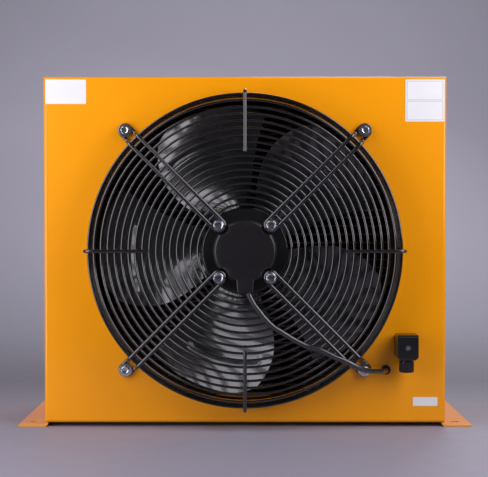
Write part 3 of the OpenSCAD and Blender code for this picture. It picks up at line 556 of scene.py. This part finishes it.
CABLE_R = 3.5
CABLE_ROUTE = [  # points of the fan frame, as in the part's source
    (2, -45.5, -45), (5.5, -46, -58), (12, -47, -70), (19.5, -47.5, -80), (28.5, -47, -91),
    (38.5, -47.5, -100.5), (49, -47.5, -107), (61, -47, -114.5), (70.5, -47, -120),
    (84, -47.5, -126), (97, -49, -129), (109, -50.5, -134.5), (120.5, -52, -140),
    (132.5, -52.5, -144.5), (144, -51.5, -150), (155, -47, -156), (166, -39, -159.5),
    (176.5, -30.5, -161), (185, -21, -162.5), (191, -8.5, -163), (192, 5, -163),
    (192, 17.5, -163), (190, 30, -166), (186, 41.5, -171), (183, 54, -174.5), (183, 67, -175),
    (186, 80, -171.5), (191, 90, -164.5), (197.5, 96, -156), (205, 98, -145), (213, 95, -134.5),
    (219.5, 87.5, -125.5), (224, 77.5, -119.5), (226, 65, -116.5), (225.5, 52.5, -117.5),
    (222.5, 39.5, -122), (219, 27.5, -127), (217, 16.7, -129),
]


def smooth_path(points, steps):
    """A smooth curve through the points."""
    n = len(points)
    out = []
    for k in range(n - 1):
        p0, p1, p2, p3 = (points[min(max(k + d, 0), n - 1)] for d in (-1, 0, 1, 2))
        for i in range(steps):
            t = i / steps
            out.append(0.5 * (2 * p1 + (p2 - p0) * t + (2 * p0 - 5 * p1 + 4 * p2 - p3) * t * t
                              + (3 * p1 - p0 - 3 * p2 + p3) * t * t * t))
    return out + [points[-1]]


cable_path = smooth_path([fan(*p) for p in CABLE_ROUTE], 6)
cable = made("cable_sheath_run", Shape().tube(cable_path, CABLE_R, 20), SHEATH, "cooler", "cable_sheath",
             ["motor_cable"])

# ---- Guard ----

HAIRPINS, STUBS = (45, 135, 225, 315), (0, 90, 180, 270)
RING_PITCH = (RING_OUT - RING_IN) / (RING_COUNT - 1)
SIDE_FRONT, SIDE_BACK = -(GUARD_H - 7), -(RING_D / 2 + 0.3)
STRUT_SIDES, STUB_END = 14, -0.9
front_rings = [RING_IN + k * RING_PITCH for k in range(RING_COUNT)]
side_rings = [SIDE_FRONT + k * (SIDE_BACK - SIDE_FRONT) / (SIDE_COUNT - 1) for k in range(SIDE_COUNT)]


def wire_ring(shape, radius, depth):
    """A closed ring of the guard's thinner wire, round the fan's axis."""
    path = [fan(radius * math.cos(a), depth, radius * math.sin(a)) for a in turn_angles(144)]
    shape.tube(path, RING_D / 2, 12, closed=True)


rings = Shape()
for radius in front_rings:
    wire_ring(rings, radius, -GUARD_H)
made("guard_rings", rings, WIRE, "cooler", "guard_black", ["guard_front_rings"])
rings = Shape()
for depth in side_rings:
    wire_ring(rings, SIDE_R, depth)
made("guard_band", rings, WIRE, "cooler", "guard_black", ["guard_side_rings"])


def rim_path(x0, y1):
    """The wire over the guard's rim, as (x, y) points of a spoke."""
    return [(x0 + (LEG_R - BEND_R - x0) * k / 8, STRUT_Y) for k in range(8)] + \
        arc(LEG_R - BEND_R, STRUT_Y + BEND_R, BEND_R, -90, 0, 10) + \
        [(LEG_R, STRUT_Y + BEND_R + (y1 - STRUT_Y - BEND_R) * k / 3) for k in range(1, 4)]


def hairpin_path(angle):
    """A strut bent from one wire: round a motor bolt, out over the rim, down, and round a panel bolt."""
    motor_x, eyelet_x = 48.79, 229.45
    leg = rim_path(motor_x, EYELET_Y - FOOT_BEND)
    foot = arc(LEG_R + FOOT_BEND, EYELET_Y - FOOT_BEND, FOOT_BEND, 180, 90, 8)
    upper = [(x, y, LOOP_R) for x, y in leg + foot[1:]]
    loop = [(eyelet_x + x, EYELET_Y, z) for x, z in arc(0, 0, LOOP_R, 90, -90, 16)]
    lower = [(x, y, -LOOP_R) for x, y in reversed(leg + foot[1:])]
    back = [(motor_x + x, STRUT_Y, z) for x, z in arc(0, 0, LOOP_R, 270, 90, 16)][1:-1]
    return [spoke(angle, *p) for p in upper + loop + lower + back]


wires = Shape()
for angle in HAIRPINS:
    wires.tube(hairpin_path(angle), STRUT_D / 2, STRUT_SIDES, closed=True)
made("guard_hairpins", wires, WIRE, "cooler", "guard_black", ["guard_struts"])
wires = Shape()
for angle in STUBS:
    wires.tube([spoke(angle, x, y, 0) for x, y in rim_path(STUB_IN, STUB_END)], STRUT_D / 2, STRUT_SIDES)
made("guard_short_wires", wires, WIRE, "cooler", "guard_black", ["guard_stubs"])


def nugget(shape, centre, across, along, normal):
    """A weld's squeezed-out metal, as a low rounded lump. across and along lie in its plane."""
    wide, long, high = across * 3.0 * MM, along * 1.7 * MM, normal * MM
    rings = 4
    rows = []
    for j in range(rings + 1):
        lift = math.pi * (j / rings - 0.5)
        rows.append([centre + wide * (math.cos(lift) * math.cos(a)) + long * (math.cos(lift) * math.sin(a))
                     + high * math.sin(lift) for a in turn_angles(8)])
    shape.grid(rows, close_cols=True)


welds = Shape()
weld_y = -(GUARD_H + RING_D / 2)
for angle, offsets in [(a, (-LOOP_R, LOOP_R)) for a in HAIRPINS] + [(a, (0,)) for a in STUBS]:
    radial = (spoke(angle, 1, 0, 0) - spoke(angle, 0, 0, 0)).normalized()
    tangent = (spoke(angle, 0, 0, 1) - spoke(angle, 0, 0, 0)).normalized()
    for z in offsets:
        for radius in front_rings:
            if angle in STUBS and radius < STUB_IN:
                continue
            x = math.sqrt(radius * radius - z * z)
            nugget(welds, spoke(angle, x, weld_y, z), tangent, radial, Vector((0, 1, 0)))
        for depth in side_rings:
            x = math.sqrt((SIDE_R + RING_D / 2) ** 2 - z * z)
            nugget(welds, spoke(angle, x, depth, z), tangent, Vector((0, 1, 0)), radial)
made("guard_welds", welds, WIRE, "cooler", "guard_black")

# ---- Fan ----

SPAN = TIP_R - ROOT_R
BEAD_R, BEAD_W, BEAD_H = 152.0, 5.0, 1.6  # the pressed bead
BLADE_ANGLES = (138, 74, -2, -76, -150)
LEAD = (2.4, 22.6, -37.9)  # the leading edge's angle in degrees: constant, linear and square terms of t
CHORD, CHORD_LOSS = 60, 16  # the angle that a blade spans at the root, and what it loses at the tip
FACE_Y, FACE_LEAN = -8, 4  # depth of the leading edge at the root, and its change at the tip
RISE, RISE_GAIN = 34, 12  # depth from leading to trailing edge
CAMBER, CAMBER_LOSS = 7, 2
BLADE_T, CORNER = 1.8, 0.075  # thickness, and how far the tip's corners are rounded off
BEAD_START, BEAD_STOP, BEAD_FADE = 0.10, 0.82, 0.06
COLS, ROWS = 40, 46


def blade_point(u, s, back):
    """Radius, angle and depth of a point: u runs from leading to trailing edge, s from root to tip."""
    t = s * (1 - CORNER * abs(2 * u - 1) ** 7)
    r = ROOT_R + t * SPAN
    a = LEAD[0] + LEAD[1] * t + LEAD[2] * t * t - u * (CHORD - CHORD_LOSS * t ** 3)
    rise = RISE + RISE_GAIN * t
    y = FACE_Y + FACE_LEAN * t + rise * u + (CAMBER - CAMBER_LOSS * t) * 4 * u * (1 - u) + back * BLADE_T
    fade = min(1.0, max(0.0, (u - BEAD_START) / BEAD_FADE)) * min(1.0, max(0.0, (BEAD_STOP - u) / BEAD_FADE))
    off = (t * SPAN - (BEAD_R - ROOT_R)) / BEAD_W
    y -= BEAD_H * fade * 0.5 * (1 + math.cos(math.pi * max(-1.0, min(1.0, off))))
    return r, a, y


def blade_face(angle, back):
    """Rows of points of one side of a blade, from root to tip."""
    rows = []
    for j in range(ROWS + 1):
        row = [blade_point(i / COLS, j / ROWS, back) for i in range(COLS + 1)]
        rows.append([spoke(angle, r * math.cos(math.radians(a)), y, r * math.sin(math.radians(a)))
                     for r, a, y in row])
    return rows


def edge_of(rows):
    """The outer points of a blade's side, in order."""
    lead_to_trail = rows[0][:COLS] + [row[COLS] for row in rows[:ROWS]]
    return lead_to_trail + rows[ROWS][:0:-1] + [row[0] for row in rows[:0:-1]]


blades = Shape()
for angle in BLADE_ANGLES:
    front, rear = blade_face(angle, 0), blade_face(angle, 1)
    blades.grid(front)
    blades.grid(rear)
    blades.grid([edge_of(front), edge_of(rear)], close_cols=True)
made("fan_blades", blades, BLADE, "fan", "fan_black", ["impeller_blades"], sharp=50)

# ---- Motor's front ----

CENTRE = Matrix.Translation(fan(0, 0, 0))
TUBE_R, TUBE_BORE, TUBE_L = 18, 14, 52  # the bearing tube
PAD_R, PAD_BORE, NOTCH_R = 9.0, 4.0, 11.5  # bolt pads, and the nameplate disc's notches round them
FLANGE_ROUND, EDGE = 3, 0.8  # the flange's rounded front edge, and small chamfers

flange = Shape()
flange_back = FLANGE_Y + FLANGE_T
rim = arc(FLANGE_R - FLANGE_ROUND, FLANGE_Y + FLANGE_ROUND, FLANGE_ROUND, -90, 0, 8)
rear = [(FLANGE_R, flange_back - EDGE), (FLANGE_R - EDGE, flange_back), (TUBE_R, flange_back)]
flange.turned([(0, FLANGE_Y), (20, FLANGE_Y)] + rim + rear, CENTRE, 144)
tube_front, tube_back = flange_back - 0.5, flange_back + TUBE_L
flange.turned([(TUBE_BORE, tube_front), (TUBE_R, tube_front), (TUBE_R, tube_back - EDGE),
               (TUBE_R - EDGE, tube_back), (TUBE_BORE, tube_back)], CENTRE, 96, closed=True)


def corners(s):
    """The four corners of a square, s across and up from its middle."""
    return [(x, z) for x in (-s, s) for z in (-s, s)]


pad_y = STRUT_Y + STRUT_D / 2
for x, z in corners(MOTOR_BOLT):
    flange.turned(rounded([(PAD_BORE, pad_y), (PAD_R, pad_y), (PAD_R, FLANGE_Y + 0.4)], 0.7),
                  Matrix.Translation(fan(x, 0, z)), 48)


def plate_edge(a):
    """The nameplate disc's radius at an angle: a circle with a round notch at each bolt."""
    limit = PLATE_R
    for k in range(4):
        b = math.radians(45 + 90 * k)
        d = MOTOR_BOLT * math.sqrt(2)
        along, off = d * math.cos(a - b), d * math.sin(a - b)
        if along > 0 and abs(off) < NOTCH_R:
            limit = min(limit, along - math.sqrt(NOTCH_R * NOTCH_R - off * off))
    return limit


STEPS = 480
plate_y = FLANGE_Y - PLATE_H
# inset from the disc's edge, and depth
plate_levels = [(0.0, FLANGE_Y + 0.5), (0.0, plate_y + 3.6), (0.15, plate_y + 3.1), (0.5, plate_y + 2.6),
                (2.3, plate_y + 0.8), (3.0, plate_y + 0.25), (4.0, plate_y), (12.0, plate_y), (24.0, plate_y)]
plate = Shape()
plate_rows = []
for inset, y in plate_levels:
    plate_rows.append([fan((plate_edge(a) - inset) * math.cos(a), y, (plate_edge(a) - inset) * math.sin(a))
                       for a in turn_angles(STEPS)])
plate.grid(plate_rows, close_cols=True)
plate.add(plate_rows[-1] + [fan(0, plate_y, 0)], [(i, (i + 1) % STEPS, STEPS) for i in range(STEPS)])
made("motor_front", flange, MOTOR, "cooler", "motor_black", ["motor_flange"])
made("motor_nameplate", plate, PLATE, "cooler", "motor_black", sharp=40)


def prism(outline, low_y, high_y):
    """A bmesh prism from an outline of (x, z) in the fan frame, from each point's depth back to high_y."""
    bm = bmesh.new()
    front = [bm.verts.new(fan(x, y, z)) for (x, z), y in zip(outline, low_y)]
    back = [bm.verts.new(fan(x, high_y, z)) for x, z in outline]
    bm.faces.new(front)
    bm.faces.new(list(reversed(back)))
    for k in range(len(outline)):
        n = (k + 1) % len(outline)
        bm.faces.new((front[n], front[k], back[k], back[n]))
    bmesh.ops.recalc_face_normals(bm, faces=bm.faces)
    return bm


BOSS_START, BOSS_END = -26, -55.8  # where the cable boss leaves the disc, and where the cable leaves the boss
boss_top, boss_low = plate_y + 1.2, FLANGE_Y - 12.5
boss = prism([(-13, BOSS_START), (13, BOSS_START), (10.8, BOSS_END), (-10.2, BOSS_END)],
             (boss_top, boss_top, boss_low, boss_low), FLANGE_Y + 0.8)
bevelled(boss, 2.0, 5)
boss_mesh = bpy.data.meshes.new("motor_cable_boss")
boss.to_mesh(boss_mesh)
boss.free()
piece("motor_cable_boss", boss_mesh, PLATE, "cooler", (), SHARP)
collar = Shape()
collar_place = Matrix.Translation(fan(5, -45.7, BOSS_END)) @ Matrix.Rotation(math.radians(-15), 4, "Y")
collar.turned(rounded([(CABLE_R + 0.05, -0.8), (4.6, -0.8), (4.6, 0.6)], 0.5),
              collar_place @ Matrix.Rotation(math.radians(-90), 4, "X"), 40)
made("motor_cable_collar", collar, RUBBER, "cooler", "seal_rubber")

# ---- Fasteners ----


def hex_head(shape, place, across, height):
    """A forged hexagon head, its face at -height, with a chamfered crown and a dished middle."""
    steps = 96
    turn = turn_angles(steps)
    corner = [across / 2 / math.cos((a + math.pi / 6) % (math.pi / 3) - math.pi / 6) for a in turn]
    crown = across * 0.46
    rows = []
    for share, y in ((1.0, 0.0), (1.0, -0.5), (1.0, -0.86), (0.45, -0.96), (0.0, -1.0)):
        drop = 0.5 if share == 1.0 and y < -0.8 else 0.0
        rows.append([place @ Vector(((crown + (c - crown) * share) * math.cos(a) * MM,
                                     (y * height + max(0.0, c - crown) * drop) * MM,
                                     (crown + (c - crown) * share) * math.sin(a) * MM))
                     for a, c in zip(turn, corner)])
    for share, y in ((0.9, -1.0), (0.84, -0.97), (0.72, -0.92), (0.66, -0.91), (0.2, -0.90)):
        rows.append([place @ Vector((crown * share * math.cos(a) * MM, y * height * MM,
                                     crown * share * math.sin(a) * MM)) for a in turn])
    shape.grid(rows, close_cols=True)
    shape.add(rows[-1] + [place @ Vector((0, -0.90 * height * MM, 0))],
              [(i, (i + 1) % steps, steps) for i in range(steps)])


def thread(shape, place, radius, pitch, y0, y1):
    """A rod with a helical thread from y0 to y1."""
    steps = 24
    depth = pitch * 0.55
    count = int((y1 - y0) / pitch * steps)
    rows = []
    for k in range(count + 1):
        a = 2 * math.pi * k / steps
        y = y0 + (y1 - y0) * k / count
        row = []
        for share, dr in ((-0.5, depth), (-0.12, 0.0), (0.12, 0.0), (0.5, depth)):
            r = radius - dr
            yy = min(max(y + share * pitch, y0), y1)
            row.append(place @ Vector((r * math.cos(a) * MM, yy * MM, r * math.sin(a) * MM)))
        rows.append(row)
    shape.grid(rows)
    core = radius - depth
    shape.turned([(0, y1), (core - 0.2, y1), (core, y1 - 0.2), (core, y0)], place, steps)


def washer(shape, place, outer, inner, y0, y1):
    """A flat washer with rounded edges. Its profile starts and ends in the middle of the bore."""
    middle = (inner, (y0 + y1) / 2)
    profile = [middle, (inner, y0), (outer, y0), (outer, y1), (inner, y1), middle]
    shape.turned(rounded(profile, 0.3), place, 64)


def spring_washer(shape, place, outer, inner, y0, y1):
    """A split lock washer: 350 degrees of wire that climbs, so its ends are stepped."""
    steps = 60
    start, sweep_angle, edge = 38, 350, 0.3
    section = ((inner, -1), (outer - edge, -1), (outer, -0.8), (outer, 0.8), (outer - edge, 1), (inner, 1))
    rows = []
    mid, t = (y0 + y1) / 2, (y1 - y0) * 0.74
    for k in range(steps + 1):
        a = math.radians(start + sweep_angle * k / steps)
        lift = (k / steps - 0.5) * (y1 - y0) * 0.24
        rows.append([place @ (Vector((r * math.cos(a), mid + lift + dy * t / 2, r * math.sin(a))) * MM)
                     for r, dy in section])
    shape.grid(rows, close_cols=True)
    shape.add(rows[0], [(5, 4, 3, 2, 1, 0)])
    shape.add(rows[-1], [(0, 1, 2, 3, 4, 5)])


def spotted(x, z, turn):
    """The place of a bolt through the guard, its head turned by some degrees as it was left."""
    return Matrix.Translation(fan(x, 0, z)) @ Matrix.Rotation(math.radians(turn), 4, "Y")


def shifted(place, y):
    return place @ Matrix.Translation((0, y * MM, 0))


WASHER_T, LOCK_T = 1.6, 2.2
M8_HEX, M8_HEAD, M8_SHANK_R, M8_SHANK_L = 13.0, 5.3, 3.9, 20  # across the flats, and the head's height
M8_HOLE_R, M8_WASHER_R, M8_LOCK_R = 4.1, 8.0, 6.6
M6_HEX, M6_HEAD, M6_NUT, M6_R, M6_PITCH, M6_LENGTH = 10.0, 4.0, 5.0, 3.0, 1.0, 16.0
M6_HOLE_R, M6_WASHER_R = 3.3, 9.0
SHEET_T = 2.0  # the shroud's sheet
motor_washer_y = STRUT_Y - STRUT_D / 2 - WASHER_T
bolts, washers, locks = Shape(), Shape(), Shape()
for (x, z), turn in zip(corners(MOTOR_BOLT), (14, 32, 5, 49)):
    spot = spotted(x, z, turn)
    head = shifted(spot, motor_washer_y - LOCK_T)
    hex_head(bolts, head, M8_HEX, M8_HEAD)
    bolts.turned([(M8_SHANK_R, 0), (M8_SHANK_R, M8_SHANK_L), (0, M8_SHANK_L)], head, 32)
    washer(washers, spot, M8_WASHER_R, M8_HOLE_R, motor_washer_y, motor_washer_y + WASHER_T)
    spring_washer(locks, spot, M8_LOCK_R, M8_HOLE_R, motor_washer_y - LOCK_T, motor_washer_y)
made("motor_hex_bolts", bolts, ZINC, "cooler", "zinc", ["motor_bolts"], sharp=24)
made("motor_flat_washers", washers, ZINC, "cooler", "zinc", ["motor_washers"])
made("motor_spring_washers", locks, ZINC, "cooler", "zinc", ["motor_lock_washers"])

guard_washer_y = EYELET_Y - STRUT_D / 2 - WASHER_T
bolts, washers, nuts = Shape(), Shape(), Shape()
for (x, z), turn in zip(corners(GUARD_BOLT), (11, 28, 45, 62)):
    spot = spotted(x, z, turn)
    head = shifted(spot, guard_washer_y)
    hex_head(bolts, head, M6_HEX, M6_HEAD)
    thread(bolts, head, M6_R, M6_PITCH, 0.0, M6_LENGTH)
    washer(washers, spot, M6_WASHER_R, M6_HOLE_R, guard_washer_y, guard_washer_y + WASHER_T)
    hex_head(nuts, shifted(spot, SHEET_T) @ Matrix.Rotation(math.pi, 4, "X"), M6_HEX, M6_NUT)
made("guard_hex_bolts", bolts, ZINC, "cooler", "zinc", ["guard_bolts"], sharp=24)
made("guard_flat_washers", washers, ZINC, "cooler", "zinc", ["guard_washers"])
made("guard_hex_nuts", nuts, ZINC, "cooler", "zinc", ["guard_nuts"], sharp=24)

# ---- Core ----


def fin_rows():
    """Fine wavy fins: each corrugated sheet zigzags along the air's way, so nothing shows through."""
    side_bar, fin_h, passage = 5.0, 8.8, 3.6
    gap, setback, end_bar = 0.15, 2.5, 10.1
    stack_z0 = CORE_Z0 + side_bar
    stack_h = CORE_Z1 - CORE_Z0 - 2 * side_bar
    count = round((stack_h - fin_h) / (fin_h + passage))
    row_h = (stack_h - count * passage) / (count + 1)
    pitch = row_h + passage
    sway = 2.3
    half_w = TANK_X - end_bar - sway / 2
    waves = 126
    step = 2 * half_w / waves / 2
    legs = 6
    depth = (CORE_Y1 - CORE_Y0 - 2 * setback) / legs
    shape = Shape()
    for row in range(count + 1):
        z0 = stack_z0 + row * pitch + gap
        z1 = z0 + row_h - 2 * gap
        outline = []
        for k in range(waves):
            x = -half_w + 2 * k * step
            outline += [(x + 0.12 * step, z0), (x + 0.78 * step, z0),
                        (x + 1.06 * step, z1), (x + 1.74 * step, z1)]
        front = CORE_Y0 + setback
        shape.grid([[world(x + sway * (leg % 2 - 0.5), front + leg * depth, z) for x, z in outline]
                    for leg in range(legs + 1)])
    return shape


made("fin_strips", fin_rows(), FIN, "cooler", "fin_alloy", ["core_fins"], sharp=20, weld=False)


def ripple(section, size, at):
    """Points of a bead's round top. at() gives the place for a shift sideways and one outwards, in mm."""
    return [at(size * math.cos(math.pi * i / section), size * math.sin(math.pi * i / section))
            for i in range(section + 1)]


def bead(shape, centre, radius, size, seed):
    """A hand-laid weld bead: a ring of overlapping ripples, on a face that looks along +Y."""
    ripples = 46
    rows = []
    for a in turn_angles(ripples * 6):
        wave = 0.82 + 0.18 * abs(math.sin(a * ripples / 2))
        wave += 0.06 * noise.noise(Vector((math.cos(a) * 2, math.sin(a) * 2, seed)))
        rows.append(ripple(6, size * wave, lambda across, up: centre + Vector(
            ((radius + across) * math.cos(a), up * 0.75, (radius + across) * math.sin(a))) * MM))
    shape.grid(rows, close_rows=True)


PORT_R, PORT_L = 21, 22.0
CREST, ROOT, THREAD_PITCH = 15.15, 16.5, 2.31  # radii and pitch of a G1 inner thread
THREAD_START = -4.0
thread_end = PORT_L - 0.6
beads = Shape()
for k, (name, (x, z)) in enumerate(PORTS.items()):
    place = Matrix.Translation(world(x, CORE_Y1, z))
    shape = Shape()
    shape.turned(rounded([(ROOT + 0.9, thread_end), (ROOT + 1.6, PORT_L), (PORT_R - 1.5, PORT_L),
                          (PORT_R, PORT_L - 1.5), (PORT_R, 0.2)], 0.25), place, 96)
    rows = []
    steps = 72
    count = int((thread_end - THREAD_START) / THREAD_PITCH * steps)
    for i in range(count + 1):
        a = 2 * math.pi * i / steps
        y = THREAD_START + (thread_end - THREAD_START) * i / count
        row = []
        for dy, r in ((-0.5, ROOT), (-0.1, CREST), (0.1, CREST), (0.5, ROOT)):
            depth = min(max(y + dy * THREAD_PITCH, THREAD_START), thread_end)
            row.append(place @ Vector((r * math.cos(a) * MM, depth * MM, r * math.sin(a) * MM)))
        rows.append(row)
    shape.grid(rows)
    shape.turned([(ROOT, thread_end - 0.01), (ROOT + 0.9, thread_end)], place, 96)
    made(name + "_threaded", shape, ALLOY, "cooler", "core_alloy", [name], sharp=25)
    bead(beads, world(x, CORE_Y1 + 0.2, z), PORT_R + 1.6, 1.9, k)
made("port_weld_beads", beads, ALLOY, "cooler", "core_alloy", sharp=60)


def straight_bead(shape, start, end, out_dir, seed):
    """A weld bead in a straight line, standing towards out_dir, which is one long."""
    size, pitch = 1.6, 2.2
    run = end - start
    n = max(8, int(run.length / MM / pitch * 4))
    sideways = run.normalized().cross(out_dir)
    rows = []
    for k in range(n + 1):
        at = start + run * (k / n)
        wave = 0.8 + 0.2 * abs(math.sin(math.pi * k / 4)) + 0.08 * noise.noise(Vector((k * 0.11, seed, 0)))
        end_fade = min(1.0, (k + 0.4) / 5, (n - k + 0.4) / 5)
        rows.append(ripple(6, size * wave, lambda across, up: at + (
            sideways * across + out_dir * up * 0.6 * end_fade) * MM))
    shape.grid(rows)


seams = Shape()
seam_y = CORE_Y1 - 1.2
for s in (-1, 1):
    straight_bead(seams, world(s * TANK_X, seam_y, CORE_Z0 + 6), world(s * TANK_X, seam_y, CORE_Z1 - 6),
                  Vector((0, 1, 0)), s + 2)
    for z in (CORE_Z0 + 4, CORE_Z1 - 4):
        straight_bead(seams, world(s * (TANK_X + 4), seam_y, z), world(s * (PLATE_X - 6), seam_y, z),
                      Vector((0, 1, 0)), s + 5)
made("core_weld_seams", seams, ALLOY, "cooler", "core_alloy", sharp=60)

# ---- Plug, gland nut and grommet ----

GROMMET_BORE, GROMMET_R, GROMMET_NECK = 3.85, 6.6, 5.0
grommet = Shape()
grommet.turned(rounded([(GROMMET_BORE, -1.8), (4.4, -1.8), (5.8, -1.8), (GROMMET_R, -1.0), (GROMMET_R, 0.0),
                        (GROMMET_NECK, 0.0), (GROMMET_NECK, SHEET_T), (GROMMET_R, SHEET_T), (5.8, 3.8),
                        (GROMMET_BORE, 3.8), (GROMMET_BORE, -1.8)], 0.35),
               Matrix.Translation(fan(GROMMET_X, 0, GROMMET_Z)), 64)
made("cable_grommet_ring", grommet, RUBBER, "cooler", "seal_rubber", ["cable_grommet"])


def fluted_nut(node, bore):
    """A gland nut in place of its CAD node: a plain collar above, grip flutes and a chamfer below."""
    flutes = 12
    low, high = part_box(node)
    cx, cy, r = (low.x + high.x) / 2 / MM, (low.y + high.y) / 2 / MM, (high.x - low.x) / 2 / MM - 0.02
    z0, z1 = low.z / MM, high.z / MM
    # radius, height, and the share of a flute's depth there
    profile = [(bore, z1, 0), (r - 0.4, z1, 0), (r, z1 - 0.4, 0), (r, z1 - 2.6, 0), (r, z1 - 3.4, 1),
               (r, z0 + 1.6, 1), (r - 0.5, z0 + 0.5, 1), (r - 1.3, z0, 0.4), (bore + 0.8, z0, 0),
               (bore, z0 + 0.8, 0)]
    rows = []
    for a in turn_angles(flutes * 16):
        dip = max(0.0, math.cos(flutes * a)) ** 1.5
        rows.append([world(cx + (q - dip * share) * math.cos(a), cy + (q - dip * share) * math.sin(a), z)
                     for q, z, share in profile])
    shape = Shape()
    shape.grid(rows, close_rows=True, close_cols=True)
    return shape


made("gland_nut_fluted", fluted_nut("gland_nut", 4.5), PLASTIC, "gland_nut", "connector_plastic",
     ["gland_nut"], sharp=40)


def label_rules(shape, node, rules):
    """Thin lines on a blank sticker, from (x0, z0) to (x1, z1) in mm from its lower left corner."""
    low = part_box(node)[0]
    for x0, z0, x1, z1 in rules:
        shape.box((low.x / MM + x0, low.y / MM - 0.03, low.z / MM + z0),
                  (low.x / MM + x1, low.y / MM + 0.1, low.z / MM + z1))


def frame_rules(x0, z0, x1, z1):
    """The four sides of an empty cell."""
    w = 0.5
    return [(x0, z0, x1, z0 + w), (x0, z1 - w, x1, z1), (x0, z0, x0 + w, z1), (x1 - w, z0, x1, z1)]


lines = Shape()
label_rules(lines, "label_right", frame_rules(2, 2, 51, 27.7) + frame_rules(2, 29.3, 51, 55))
made("label_cell_lines", lines, RULE, "cooler", "label_white")

# ---- Finish of what stays as the CAD has it ----


def softened(name, width_mm):
    """Rounds a CAD node's sharp edges with modifiers."""
    obj = nodes[name]
    weld = obj.modifiers.new("weld", "WELD")
    weld.merge_threshold = MERGE
    flat = obj.modifiers.new("flat", "DECIMATE")
    flat.decimate_type = "DISSOLVE"
    flat.angle_limit = math.radians(0.5)
    edge = obj.modifiers.new("edge", "BEVEL")
    edge.width = width_mm * MM
    edge.segments = 2
    edge.limit_method = "ANGLE"
    edge.angle_limit = SOFT_ANGLE
    edge.use_clamp_overlap = False
    for poly in obj.data.polygons:
        poly.use_smooth = True
    obj.data.set_sharp_from_angle(angle=SOFT_ANGLE)
    shade = obj.modifiers.new("shade", "WEIGHTED_NORMAL")
    shade.weight = 100
    shade.keep_sharp = False


SOFT_EDGES = {  # bevel widths in mm
    "side_plate_left": 0.4, "side_plate_right": 0.4, "tank_left": 0.4, "tank_right": 0.4,
    "tank_caps": 0.4, "core_side_bars": 0.4, "core_bolts": 0.3, "shroud_rivets": 0.2, "plug_body": 0.7,
    "connector_base": 0.3, "rotor_cup": 0.4, "impeller_ring": 0.3,
}
for name, width in SOFT_EDGES.items():
    softened(name, width)

# ---- Stage and light ----

STAGE_PAINTED_LIGHT = [(-0.4, 0.33), (0.1, 0.27), (0.3, 0.22), (0.6, 0.27), (1.35, 0.37), (2.1, 0.50), (2.8, 0.55),
               (3.6, 0.43)]  # metres along the paper's y + z, and its tone there, which is painted light and shade: darkest on the floor just behind the cooler, lightest on the sweep's upper curve
FLOOR_NEAR, SWEEP_Y, SWEEP_R, PAPER_TOP, PAPER_HALF = -6.0, 1.2, 1.2, 5.0, 7.0  # metres


def studio_paper():
    """Grey paper with painted light and shade: its tone runs along y + z, from the floor in front up to the
    backdrop's top.
    """
    look = Look("studio_paper", specular=0.3)
    _, y, z = look.split()
    along = look.maths("ADD", y, z)
    low, high = STAGE_PAINTED_LIGHT[0][0], STAGE_PAINTED_LIGHT[-1][0]
    stops = [((place - low) / (high - low), (t, t * 0.955, t * 1.16)) for place, t in STAGE_PAINTED_LIGHT]
    paper = look.colours(look.ramp(along, 0.0, 1.0, low, high), stops)
    look.colour(look.mixed(look.ramp(look.noise(400, 3.0), 0.0, 0.06), paper, (0.3, 0.28, 0.33)))
    look.roughness(look.ramp(look.noise(30, 2.0), 0.56, 0.64))
    look.bump(look.noise(2, 2.0), 0.02)
    return look.mat


def sweep():
    """A floor that curves up into a backdrop."""
    curve = arc(SWEEP_Y, SWEEP_R, SWEEP_R, -84, 0, 14)
    profile = [(FLOOR_NEAR, 0.0), (SWEEP_Y, 0.0)] + curve + [(SWEEP_Y + SWEEP_R, PAPER_TOP)]
    shape = Shape()
    shape.grid([[Vector((x, y, z)) for y, z in profile] for x in (-PAPER_HALF, PAPER_HALF)])
    mesh = shape.mesh("studio_sweep")
    mesh.polygons.foreach_set("use_smooth", [True] * len(mesh.polygons))
    obj = bpy.data.objects.new("studio_sweep", mesh)
    scene.collection.objects.link(obj)
    mesh.materials.append(studio_paper())


sweep()


def softbox(name, place, target, size, power, colour=(1, 1, 1)):
    """A rectangular lamp at a place, turned towards a target."""
    data = bpy.data.lights.new(name, "AREA")
    data.shape = "RECTANGLE"
    data.size, data.size_y = size
    data.energy = power
    data.color = colour
    obj = bpy.data.objects.new(name, data)
    scene.collection.objects.link(obj)
    obj.location = place
    obj.rotation_euler = (Vector(target) - Vector(place)).to_track_quat("-Z", "Y").to_euler()


AIM, COOL = (0, -0.05, 0.5), (0.96, 0.93, 1.0)
softbox("softbox_left", (-0.62, -0.54, 0.585), AIM, (0.62, 1.18), 8.0, COOL)
softbox("softbox_right", (0.66, -0.54, 0.74), AIM, (0.56, 0.94), 8.2, COOL)
softbox("softbox_back", (0.5, 1.5, 1.5), (0, 0.1, 0.24), (1.0, 0.8), 12)
softbox("backdrop_lamp", (0, 0.75, 1.9), (0, 2.4, 0.7), (2.4, 0.6), 20)


def studio_air(shade, seen):
    """A dim grey world. shade lights the object, and seen shows past the paper and in reflections."""
    air = bpy.data.worlds.new("studio")
    scene.world = air
    air.use_nodes = True
    tree = air.node_tree
    background = tree.nodes["Background"]
    background.inputs["Color"].default_value = (0.62, 0.60, 0.70, 1.0)
    rays = tree.nodes.new("ShaderNodeLightPath")
    direct = rays.outputs["Is Camera Ray"]
    for other in ("Is Glossy Ray", "Is Transmission Ray"):
        either = tree.nodes.new("ShaderNodeMath")
        either.operation = "MAXIMUM"
        tree.links.new(direct, either.inputs[0])
        tree.links.new(rays.outputs[other], either.inputs[1])
        direct = either.outputs["Value"]
    strength = tree.nodes.new("ShaderNodeMapRange")
    strength.inputs["To Min"].default_value = shade
    strength.inputs["To Max"].default_value = seen
    tree.links.new(direct, strength.inputs["Value"])
    tree.links.new(strength.outputs["Result"], background.inputs["Strength"])


studio_air(0.05, 0.12)
